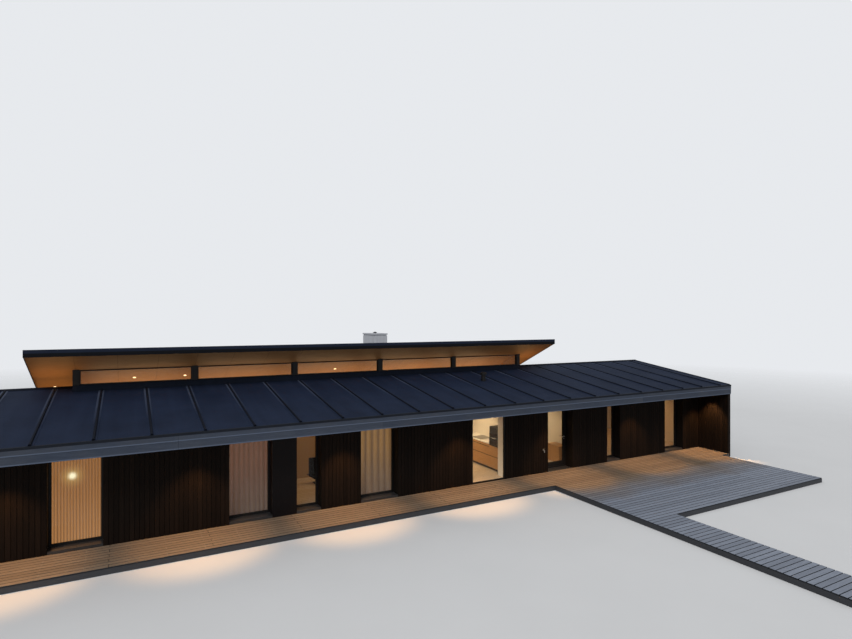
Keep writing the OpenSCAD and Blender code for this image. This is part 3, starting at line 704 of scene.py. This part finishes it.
for i in range(-batten_side, batten_side + 1):
    x = i * batten_pitch
    in_band = band_low.x < x < band_high.x
    felted_batten(x, band_low.y - band_play if in_band else -ridge_start, -fin_y, roof_top)
    if upper_low.x < x < upper_high.x:
        felted_batten(x, upper_high.y + batten_gap, fin_y, roof_top)
        felted_batten(x, upper_high.y - batten_gap, upper_low.y + upper_eave_in, upper_top)
    else:
        felted_batten(x, ridge_start, fin_y, roof_top)
ridge_w = 0.115
ridge_t = 0.008
ridge_h = 0.034
ridge_flat = 0.03
ridge_side = -ridge_w * fall
ridge_play = 0.003
ridge_outline = [(-ridge_w, ridge_side), (-ridge_w, ridge_t + ridge_side),
                 (-ridge_flat, ridge_h), (ridge_flat, ridge_h),
                 (ridge_w, ridge_t + ridge_side), (ridge_w, ridge_side), (0, 0)]
cheek_x = [corner.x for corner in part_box("upper_cheeks")]
for left, right in ((-half_l, cheek_x[0] - ridge_play), (cheek_x[1] + ridge_play, half_l)):
    add_run(caps, ridge_outline, (left, 0, ridge_z), (right, 0, ridge_z), (0, 1, 0))
felt_caps = make_piece("felt_caps", closed(caps), cap_felt_painted_shade, 0.005, 2)
felt_laps = make_piece("felt_laps", closed(laps), lap_felt_painted_glint, 0.002)
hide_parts("roof_battens")
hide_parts("roof_battens")

verge_w = 0.034
verge_under = -0.02
verge_over = 0.022
verge_outline = [(-verge_w, verge_under), (-verge_w, verge_over), (verge_w, verge_over),
                 (verge_w, verge_under)]
verges = bmesh.new()
for side, out in itertools.product((-1, 1), repeat=2):
    x = side * (half_l + board_t - verge_w)
    add_run(verges, verge_outline, (x, 0, ridge_z), (x, out * fin_y, roof_top(fin_y)), (1, 0, 0))
make_piece("verge_rolls", closed(verges), edge_felt_painted_shade, 0.008, 2)

# The eaves: two weathered grey boards on edge, the upper one standing out over the lower,
# butted end to end, with a dark drip trim under the felt. Boards on the verges close the
# ends of the roof. Narrow pine boards line the underside of the eaves.
fascia_low, fascia_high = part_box("eave_fascias")
fascia_t = 0.025
fascia_split = soffit_z + 0.18
fascia_l = 5.2
soffit_board = 0.105
soffit_joint = 0.02
fascia_back = 0.004
fascia_step = 0.010
butt = 0.001


def weathered_grey(name, pale_strip_heights=()):
    return timber(name, (0.014, 0.020, 0.034), (0.049, 0.062, 0.090), 0, sizes=(0.62, 0.0012),
                  spread=0.35, grain=26, aged=0.3, shine=0.2, pale_strip_heights=pale_strip_heights)


# Each fascia board is painted paler along its foot.
grey_wood = weathered_grey("grey_wood", (soffit_z, fascia_split))
fascias = new_boards()
count, pitch = parted(fascia_high.x - fascia_low.x, fascia_l)
for out in (-1, 1):
    for i in range(count):
        left = fascia_low.x + i * pitch
        right = left + pitch
        for step, bottom, top in ((fascia_back, fascia_split, fascia_high.z),
                                  (fascia_step, soffit_z, fascia_split)):
            ys = sorted((out * (fascia_high.y - step), out * (fascia_high.y - 2 * fascia_t)))
            add_board(fascias, (left + butt, ys[0], bottom + butt),
                      (right - butt, ys[1], top - butt), chance.random())
fascia_boards = make_piece("fascia_boards", fascias, grey_wood, 0.003)
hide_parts("eave_fascias")
weathered_grey("verge_wood").dress("verge_boards")

drip_metal = Finish("drip_metal", {"Specular IOR Level": 0.12})
drip_dull = drip_metal.noise(4, 5, 0.6)
drip_metal.paint(drip_metal.mix(drip_dull, (0.004, 0.005, 0.008), (0.012, 0.015, 0.022)),
                 drip_dull, 0.0004, 0.6 + drip_dull * 0.2)
drip_up = 0.003
drips = bmesh.new()
drip_outline = [(-0.090, 0.001), (-0.090, 0.006), (-0.001, 0.006), (-0.001, -0.048),
                (-0.0035, -0.048), (-0.0035, 0.001)]
for out in (-1, 1):
    outline = [(out * u, v) for u, v in drip_outline]
    y, z = out * fascia_high.y, fascia_high.z + drip_up
    add_run(drips, outline, (fascia_low.x + butt, y, z), (fascia_high.x - butt, y, z), (0, 1, 0))
make_piece("drip_trims", closed(drips), drip_metal, 0.0008)

pine = timber("pine", pine_dark, pine_light, 0, sizes=(0.5, 0.0006), spread=0.3)
soffit_low, soffit_high = solids("eave_soffits")[0]
soffits = new_boards()
count, pitch = parted(soffit_high.y - soffit_low.y, soffit_board)
for out in (-1, 1):
    for i in range(count):
        ys = sorted(-out * (soffit_low.y + (i + part) * pitch)
                    for part in (soffit_joint, 1 - soffit_joint))
        add_board(soffits, (soffit_low.x, ys[0], soffit_low.z),
                  (soffit_high.x, ys[1], soffit_high.z), chance.random())
soffit_boards = make_piece("soffit_boards", soffits, pine, 0.003)
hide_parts("eave_soffits")

# The lamps: flat round lights let into the underside of the eave, spotlights on the sloping
# ceiling, and a floor lamp behind the bedroom curtain. They are on, so their glass glows, and
# a small lamp at each eave light and at the floor lamp lights what is round it. The eave's
# beams keep a little off the fins.
warm = (1.0, 0.54, 0.20)
room_light = (1.0, 0.74, 0.42)
bay_light = (1.0, 0.68, 0.38)
eave_watts = 225
eave_cone = math.radians(86)
end_lamp_gain = 1.5
floor_lamp_watts = 12
lamp_off = 0.03
beam_in = 0.36
lamp_glow = 3
metal_top = 1.6
lamp_boxes = solids("lamps")
floor_lamp = next(box for box in lamp_boxes if box[1].z - box[0].z > 1)
lamps = Finish("lamps", {"Roughness": 0.3, "Emission Strength": lamp_glow})
_, over_y, over_z = lamps.axes()
stem = (over_z < metal_top) * (over_y > -half_d)
frost = lamps.noise(60, 2)
lamps.paint(lamps.mix(stem, (0.9, 0.8, 0.62), (0.02, 0.02, 0.02)), frost, 0.0002)
lamps.feed(lamps.shader.inputs["Emission Color"],
           lamps.mix(stem, (1.0, 0.72, 0.38), (0, 0, 0)))
lamps.dress("lamps")


def glow(name, place, watts, kind="POINT", size=0.05, turn=0, colour=warm, long=0):
    """A warm lamp that lights the house and isn't seen itself. It shines down at turn 0."""
    data = bpy.data.lights.new(name, kind)
    data.color = colour
    data.energy = watts
    if kind == "SPOT":
        data.spot_size = eave_cone
        data.spot_blend = 0.6
    if kind == "AREA":
        data.shape = "RECTANGLE"
        data.size = size
        data.size_y = long or size
    else:
        data.shadow_soft_size = size
    lamp = bpy.data.objects.new(name, data)
    lamp.location = place
    lamp.rotation_euler = (turn, 0, 0)
    lamp.visible_camera = False
    scene.collection.objects.link(lamp)


beam_to = half_l - fin_t - beam_in
for i, (low, high) in enumerate(lamp_boxes):
    middle = (low + high) / 2
    if middle.y < -half_d:
        beam_x = min(max(middle.x, -beam_to), beam_to)
        watts = eave_watts * (1 if beam_x == middle.x else end_lamp_gain)
        glow(f"eave_lamp_{i}", (beam_x, middle.y, low.z - lamp_off), watts, "SPOT")
    elif (low, high) == floor_lamp:
        glow(f"floor_lamp_{i}", (middle.x, middle.y + 0.25, high.z), floor_lamp_watts)
room_lamp_y = -1.1
room_lamp_z = 2.25
room_lamp_w = 0.8
room_lamps = [(-12, 40, room_light), (-8.2, 24, room_light), (-4.6, 24, room_light),
              (-1.3, 4, room_light), (2.2, 40, room_light), (4.35, 46, room_light),
              (6.9, 30, room_light), (10.2, 15, bay_light), (13.0, 21, warm)]
for i, (x, watts, colour) in enumerate(room_lamps):
    glow(f"room_lamp_{i}", (x, room_lamp_y, room_lamp_z), watts, "AREA", room_lamp_w,
         colour=colour)

# The raised roof: satin black posts stand on the front slope, with a felted upstand and slim
# black frames of clear glass between them. Over them a thinner roof runs down to the back
# slope, felted on top and lined with panels of oiled pine below.
upper_skin = 0.05
post_x = sorted((low.x + high.x) / 2 for low, high in solids("upper_posts"))
panel_w = (post_x[1] - post_x[0]) / 3
panel_gap = panel_w / 400
upper_roof = felt_and_pine(
    "upper_roof",
    lambda x, y, z: z > upper_top(y) - upper_skin,
    lambda x, y, z: at_joint(x - post_x[0], panel_w, panel_gap))
upper_roof.dress("upper_roof")
black_paint = Finish("black_paint", {"Specular IOR Level": 0.25})
brush = black_paint.streaks((20, 20, 4))
black_paint.paint(black_paint.mix(brush, (0.0035, 0.0030, 0.0030), (0.0090, 0.0080, 0.0075)),
                  brush, 0.0004, 0.35 + brush * 0.2)
black_paint.dress("upper_posts", "upper_frames", "window_frames", "door_frame", "door_leaf",
                  "roof_vent")

# The raised roof is edged with black boards under a slate-blue metal lip. Its ends are closed
# by triangular cheeks, boarded black outside and lined with pine inside.
lip_h = 0.085
edge_metal = Finish("edge_metal", {"Specular IOR Level": 0.1})
_, metal_y, metal_z = edge_metal.axes()
under_top = upper_top(metal_y) - metal_z
dull = edge_metal.noise(3, 6, 0.6)
lip_colour = edge_metal.mix(dull, (0.0070, 0.0105, 0.0230), (0.0130, 0.0180, 0.0340))
board_black = edge_metal.mix(dull, (0.0015, 0.0018, 0.0030), (0.0040, 0.0045, 0.0065))
edge_metal.paint(edge_metal.mix(under_top < lip_h, board_black, lip_colour),
                 dull, 0.0004, 0.4 + dull * 0.25)
edge_metal.dress("upper_fascia")

cheek_mid = sum(cheek_x) / 2
cheek_skin = 0.02
cheek_in = (cheek_x[1] - cheek_x[0]) / 2 - cheek_skin
cheeks = Finish("cheeks", {"Specular IOR Level": 0.12})
lined = abs(cheeks.axes()[0] - cheek_mid) < cheek_in
cheek_fibre = cheeks.streaks((30, 1.5, 30), 6, 0.62)
outside = cheeks.mix(cheek_fibre, wall_black, times(wall_black, 2))
inside = cheeks.mix(cheek_fibre, pine_dark, pine_light)
cheeks.paint(cheeks.mix(lined, outside, inside), cheek_fibre, 0.0008, 0.5 + cheek_fibre * 0.2)
cheeks.dress("upper_cheeks")

# The panes are clear glass with a faint ripple, set in their frames. Lamps under the bays and
# on the slope past the end posts light the raised roof's lining.
clear_glass = Finish("clear_glass", {"Roughness": 0.02, "Alpha": 0.14, "IOR": 1.6})
ripple = clear_glass.noise(1.5, 2)
clear_glass.paint(clear_glass.mix(ripple, (0.04, 0.045, 0.045), (0.06, 0.065, 0.065)),
                  ripple, 0.0004)
clear_glass.dress("upper_glass", "window_glass", "door_glass")

bay_watts = 28
bay_lamp_y = 0.75
bay_lamp_z = 2.45
bay_lamp_w = 2.4
bay_lamp_l = 1.6
gable_out = 0.55
gable_lamp_w = 0.9
gable_lamps = (("front", -0.55, 3.6), ("back", 0.48, 1.5))
for i, (low, high) in enumerate(solids("upper_glass")):
    glow(f"bay_lamp_{i}", ((low.x + high.x) / 2, bay_lamp_y, bay_lamp_z), bay_watts, "AREA",
         bay_lamp_w, turn=math.pi, colour=bay_light, long=bay_lamp_l)
for side, x in (("left", post_x[0] - gable_out), ("right", post_x[-1] + gable_out)):
    for where, y, watts in gable_lamps:
        glow(f"{side}_gable_lamp_{where}", (x, y, roof_top(y) + lamp_off), watts, "AREA",
             gable_lamp_w, turn=math.pi + math.copysign(math.atan(fall), -y))

# The chimney is a masonry shaft under pale grey render, with a cover slab and a small metal
# cowl. Rain has left faint streaks down it.
render_pale = (0.46, 0.47, 0.50)
chimney_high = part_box("chimney")[1].z
cowl_h = 0.06
render_coat = Finish("chimney_render", {})
cowl = render_coat.axes()[2] > chimney_high - cowl_h + 0.001
rough_coat = render_coat.noise(45, 5, 0.7)
rain = render_coat.streaks((12, 12, 1.2), 4)
coat_shade = rough_coat * 0.4 + rain * 0.6
coat_colour = render_coat.mix(coat_shade, times(render_pale, 0.7), times(render_pale, 1.2))
render_coat.paint(render_coat.mix(cowl, coat_colour, (0.03, 0.03, 0.035)),
                  rough_coat, 0.003, 0.9 - cowl * 0.4)
render_coat.dress("chimney")

# The sills are folded black metal with a satin gloss. Behind the kitchen's glass the pale
# floor runs out to the pane instead.
sill_metal = Finish("sill_metal", {"Metallic": 0.1, "Coat Weight": 0.3})
sill_x, sill_y, _ = sill_metal.axes()
sill_dull = sill_metal.noise(5, 5, 0.6)
sill_fibre = sill_metal.streaks((1.6, 34, 34), 6, 0.6)
at_kitchen = at_kitchen_glass(sill_x) * (sill_y < 0)
folded_metal = sill_metal.mix(sill_dull, (0.016, 0.016, 0.017), (0.034, 0.034, 0.036))
floor_edge = sill_metal.mix(sill_fibre, plank_dark, plank_light)
sill_metal.paint(sill_metal.mix(at_kitchen, folded_metal, floor_edge),
                 sill_dull, 0.0004, 0.28 + sill_dull * 0.15 + at_kitchen * 0.15)
sill_metal.dress("window_sills")

# Each pane is held in its frame by slim black beads, butted at the corners and pinned to the
# frame on both faces of the glass. The door's beads swing with its leaf.
bead_w = 0.015
bead_d = 0.013
bead_play = 0.0003


def bead_rings(panes):
    """Four bars round each pane, in front of it and behind it."""
    bm = new_boards()
    for low, high in panes:
        for near, far in ((low.y - bead_d, low.y - bead_play),
                          (high.y + bead_play, high.y + bead_d)):
            for left, right in ((low.x, low.x + bead_w), (high.x - bead_w, high.x)):
                add_board(bm, (left, near, low.z), (right, far, high.z), 0.5)
            for bottom, top in ((low.z, low.z + bead_w), (high.z - bead_w, high.z)):
                add_board(bm, (low.x + bead_w, near, bottom), (high.x - bead_w, far, top), 0.5)
    return bm


make_piece("window_beads", bead_rings(solids("window_glass")), black_paint)
make_piece("door_beads", bead_rings(solids("door_glass")), black_paint,
           body="terrace_door")

# The terrace door's lever and the tap beside it are brushed steel, turned and bent, with
# fine grinding marks round them.
steel = Finish("brushed_steel", {"Metallic": 1.0})
brushing = steel.streaks((60, 60, 900), 3)
steel.paint(steel.mix(brushing, (0.42, 0.42, 0.41), (0.62, 0.62, 0.60)), brushing, 0.0001,
            0.25 + brushing * 0.2)
steel.dress("door_handle", "garden_tap")

# The decks: planed boards on joists, weathered grey-brown, with open joints. They run along
# the house on the front deck and the terrace, and across the walkway. Each is screwed down
# with two screws at every joist.
deck_pitch = 0.143
deck_gap = 0.014
deck_board_l = 4.2
deck_butt = 0.0015
ends_in = {"front_deck": 0.02, "terrace": 0, "walkway": 0}
# Browner near the house: partly timber sheltered by the eave, partly a painted pool of the eave
# lamps' warm light.
brown = ((0.100, 0.070, 0.046), (0.265, 0.200, 0.142))
# Painted shade: the deck boards' sides are painted near black in the open joints.
deck_wood = timber("deck_wood", (0.115, 0.128, 0.158), (0.270, 0.300, 0.362), 0,
                   sizes=(0.65, 0.0014), spread=0.5, grain=24, shine=0.2, under=brown,
                   sides=deck_z - deck_butt)
# Partly painted shade: the joists are dark timber, painted darker still as the shade under the
# deck's edges.
shade_wood = timber("joist_wood", (0.012, 0.013, 0.016), (0.030, 0.032, 0.038), 0,
                    sizes=(0.7, 0.001), spread=0)
shade_wood.dress("deck_joists")


def deck_boards(name):
    """Rows of boards along X over the area of a node, with staggered butt joints."""
    low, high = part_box(name)
    bm = new_boards()
    count, pitch = parted(high.y - low.y, deck_pitch)
    start = low.x + ends_in[name]
    long = high.x - low.x - 2 * ends_in[name]
    parts, _ = parted(long, deck_board_l)
    for i in range(count):
        y = low.y + i * pitch
        cuts = [0, *((k + 0.5 * (i % 2)) / parts for k in range(1, parts)), 1]
        for near, far in zip(cuts, cuts[1:]):
            add_board(bm, (start + near * long + deck_butt, y + deck_gap / 2, low.z),
                      (start + far * long - deck_butt, y + pitch - deck_gap / 2, high.z),
                      chance.random())
    piece = make_piece(name + "_boards", bm, deck_wood, 0.005)
    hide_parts(name)


for name in ends_in:
    deck_boards(name)

screw_r = 0.0042
screw_h = 0.0012
screw_in = 0.032
joist_w = 0.048
joist_pitch = 0.8
screw_from_end = 0.036
screws = bmesh.new()
for name in ends_in:
    low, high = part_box(name)
    rows, pitch = parted(high.y - low.y, deck_pitch)
    count = math.ceil((high.x - low.x - joist_w) / joist_pitch)
    step = (high.x - low.x - joist_w) / count
    for i, row in itertools.product(range(count + 1), range(rows)):
        x = low.x + joist_w / 2 + i * step
        x = min(max(x, low.x + screw_from_end), high.x - screw_from_end)
        y = low.y + (row + 0.5) * pitch
        for out in (-1, 1):
            put = Matrix.Translation((x, y + out * (pitch / 2 - screw_in), high.z + screw_h / 2))
            bmesh.ops.create_cone(screws, cap_ends=True, segments=6, radius1=screw_r,
                                  radius2=screw_r * 0.7, depth=screw_h, matrix=put)
make_piece("deck_screws", screws, steel, 0)

# The kitchen: oak drawer fronts on dark carcasses under a worktop, beside a tall oven. A low
# oak box bench stands in the room behind the terrace door.
oven_front_h = 0.13
plinth_to = 0.262
row_ends = [(plinth_to, 0.638), (0.660, 0.930), (0.952, 1.020)]
front_t = 0.008
front_play = 0.0005
drawer_gap = 0.0015
oven_gap = 0.004
drawer_l = 0.75
oak_dark = (0.30, 0.15, 0.055)
oak_light = (0.52, 0.30, 0.12)
oak = timber("oak", oak_dark, oak_light, 1, sizes=(0.42, 0.0005), spread=0.15)
oak.dress("bench")
units_low, units_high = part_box("kitchen_units")
top_low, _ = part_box("worktop")
oven_low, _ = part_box("oven")
fronts = new_boards()
y = top_low.y
count, pitch = parted(units_high.y - y, drawer_l)
columns = [(units_low.y, y, row_ends[:2])]
columns += [(y + i * pitch, y + (i + 1) * pitch, row_ends) for i in range(count)]
for near, far, rows in columns:
    for bottom, top in rows:
        top = min(top, oven_low.z - oven_gap) if near < y else top
        add_board(fronts, (units_low.x - front_t, near + drawer_gap, bottom),
                  (units_low.x - front_play, far - drawer_gap, top), chance.random())
make_piece("drawer_fronts", fronts, oak, 0.0015)

# The carcass behind the fronts is painted near black, as the shade in the gaps between them, and
# so are its plinth and the oven's column.
# The worktop and the curtains' rails are satin white. The oven is black glass, with one more
# oak front under it.
carcass = Finish("carcass", {})
carcass_fibre = carcass.streaks((20, 1.6, 20))
carcass.paint(carcass.mix(carcass_fibre, (0.014, 0.010, 0.008), (0.028, 0.020, 0.014)),
              carcass_fibre, 0.0003, 0.4 + carcass_fibre * 0.2)
carcass.dress("kitchen_units")
white_top = Finish("white_worktop", {"Coat Weight": 0.2})
speckle = white_top.noise(180, 2)
white_top.paint(white_top.mix(speckle, (0.70, 0.69, 0.66), (0.80, 0.79, 0.76)),
                speckle, 0.0001, 0.3 + speckle * 0.1)
white_top.dress("worktop", "curtain_rails")
black_glass = Finish("black_glass", {"Coat Weight": 0.5})
smear = black_glass.noise(12, 4)
oven_fibre = black_glass.streaks((30, 1.4, 30))
under_oven = black_glass.axes()[2] < oven_low.z + oven_front_h
oven_black = black_glass.mix(smear, (0.010, 0.010, 0.011), (0.018, 0.018, 0.020))
oak_front = black_glass.mix(oven_fibre, oak_dark, oak_light)
black_glass.paint(black_glass.mix(under_oven, oven_black, oak_front),
                  smear, 0.0001, 0.08 + smear * 0.1 + under_oven * 0.3)
black_glass.dress("oven")

# A dark tub chair stands in the nook with its back to the window: a square back, a seat
# whose shell narrows downwards, and a post on a flat foot, all of stained wood.
chair_x = -0.60
chair_y = -1.0
chair_w = 0.64
chair_deep = 0.26
chair_back = (-0.016, 0.03)
seat_z = 0.45
shell_z = 0.30
shell_taper = 0.35
chair_top = 1.01
post_w = 0.05
foot_w = 0.26
foot_h = 0.018
chair_play = 0.0005
floor_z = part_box("inner_floor")[1].z
middle_y = chair_y + chair_deep / 2
chair = new_boards()


def chair_part(w, ys, zs, tone):
    """A cuboid of the chair, w wide on its middle line."""
    return add_board(chair, (chair_x - w / 2, ys[0], zs[0]), (chair_x + w / 2, ys[1], zs[1]), tone)


def square(w):
    return middle_y - w / 2, middle_y + w / 2


back_y, front_y = (chair_y + y for y in chair_back)
chair_part(chair_w, (back_y, front_y), (seat_z, chair_top), 0.2)
shell = chair_part(chair_w, (back_y, chair_y + chair_deep), (shell_z, seat_z - chair_play), 0.7)
for vert in shell:
    if vert.co.z < (shell_z + seat_z) / 2:
        vert.co.x = chair_x + (vert.co.x - chair_x) * shell_taper
        vert.co.y = middle_y + (vert.co.y - middle_y) * shell_taper
chair_part(foot_w, square(foot_w), (floor_z + chair_play, floor_z + foot_h), 0.4)
chair_part(post_w, square(post_w), (floor_z + foot_h + chair_play, shell_z - chair_play), 0.4)
make_piece("nook_chair", closed(chair), smooth_black, 0.006, 2)

# The curtains: lengths of linen, cut wider than the windows and gathered under their rails,
# in fine pleats in the bedroom and in broad soft ones elsewhere, and lit from behind.
linen_light = (0.21, 0.165, 0.125)
linen_dark = (0.135, 0.105, 0.076)
linen_t = 0.0016
pleat_deep = 0.024
pleat_steps = 14
drop_steps = 26
hem_in = 0.004
pleats_in = {"bedroom": (0.062, 0.8), "hall": (0.125, 1), "living_room": (0.20, 1.1)}
linen = Finish("linen", {"Roughness": 0.9, "Sheen Weight": 0.2, "Emission Strength": 1.25})
cloth_x, cloth_y, cloth_z = linen.axes()
warp = linen.streaks((900, 60, 40), 2)
weft = linen.streaks((60, 60, 900), 2)
weave = warp * 0.5 + weft * 0.5
linen.paint(linen.mix(weave, linen_dark, linen_light), weave, 0.0004)

# The rooms' light comes through the linen, less in the folds that reach towards the window.
# It is golden in the bedroom, and brighter low down there, faint and rosy in the hall, and
# straw-coloured in the living room. The floor lamp makes a bright spot in the bedroom's.
curtain_boxes = solids("curtains")
curtain_middle = (curtain_boxes[0][0].y + curtain_boxes[0][1].y) / 2
in_fold = linen.span(cloth_y, curtain_middle + pleat_deep, curtain_middle - pleat_deep)
hall_at = (curtain_boxes[0][1].x + curtain_boxes[1][0].x) / 2
living_at = (curtain_boxes[1][1].x + curtain_boxes[2][0].x) / 2
through = linen.mix(cloth_x > hall_at, (0.290, 0.122, 0.032), (0.110, 0.046, 0.026))
through = linen.mix(cloth_x > living_at, through, (0.210, 0.110, 0.034))
lower = linen.span(cloth_z, 1.6, 0.3)
through = linen.mix(lower * (cloth_x > hall_at) * 0.8, through, (0.050, 0.038, 0.034))
through = linen.mix(lower * (cloth_x < hall_at) * 0.5, through, (0.450, 0.215, 0.075))
through = linen.mix(in_fold ** 2 * 0.75, through, (0.045, 0.020, 0.008))
lamp_x = (floor_lamp[0].x + floor_lamp[1].x) / 2
lamp_z = floor_lamp[1].z - 0.07
from_lamp = linen.math("SQRT", (cloth_x - lamp_x) ** 2 + (cloth_z - lamp_z) ** 2)
halo = linen.span(from_lamp, 0.34, 0.05) ** 2
core = linen.span(from_lamp, 0.13, 0.04) ** 2
through = linen.mix(halo * 0.6, through, (0.60, 0.40, 0.13))
through = linen.mix(core, through, (1.0, 0.92, 0.62))
linen.feed(linen.shader.inputs["Emission Color"], through)


def pleated(low, high, pleat_w, swell):
    """A hanging sheet in a curtain's space, with pleats that deepen and wander downwards."""
    wander = random.Random(11)
    wide = high.x - low.x
    tall = high.z - low.z
    pleats = round(wide / pleat_w)
    middle = (low.y + high.y) / 2
    phases = [wander.uniform(-0.5, 0.5) for _ in range(pleats + 1)]
    bm = bmesh.new()
    bmesh.ops.create_grid(bm, x_segments=pleats * pleat_steps, y_segments=drop_steps, size=0.5)
    for vert in bm.verts:
        across = vert.co.x + 0.5
        down = 0.5 - vert.co.y
        turn = across * pleats
        near = min(int(turn), pleats - 1)
        part = turn - near
        phase = phases[near] * (1 - part) + phases[near + 1] * part
        deep = swell * pleat_deep * (0.75 + 0.2 * down) * (1 + 0.25 * phase)
        swing = math.sin(2 * math.pi * turn + phase * down * 1.6)
        sway = 0.3 * math.sin(4 * math.pi * turn + phase * 3) * down
        x = low.x + hem_in + across * (wide - 2 * hem_in)
        vert.co = (x, middle + deep * (swing + 0.25 * sway), high.z - down * tall)
    cloth = sum(face.calc_area() for face in bm.faces)
    return bm, cloth / tall, tall


for (low, high), curtain_name in zip(curtain_boxes, pleats_in):
    bm, flat_w, flat_l = pleated(low, high, *pleats_in[curtain_name])
    piece = make_piece(curtain_name + "_curtain", bm, linen, 0, smooth=True)
    thick = piece.modifiers.new("cloth", "SOLIDIFY")
    thick.thickness = linen_t
    thick.offset = 0
    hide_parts("curtains")
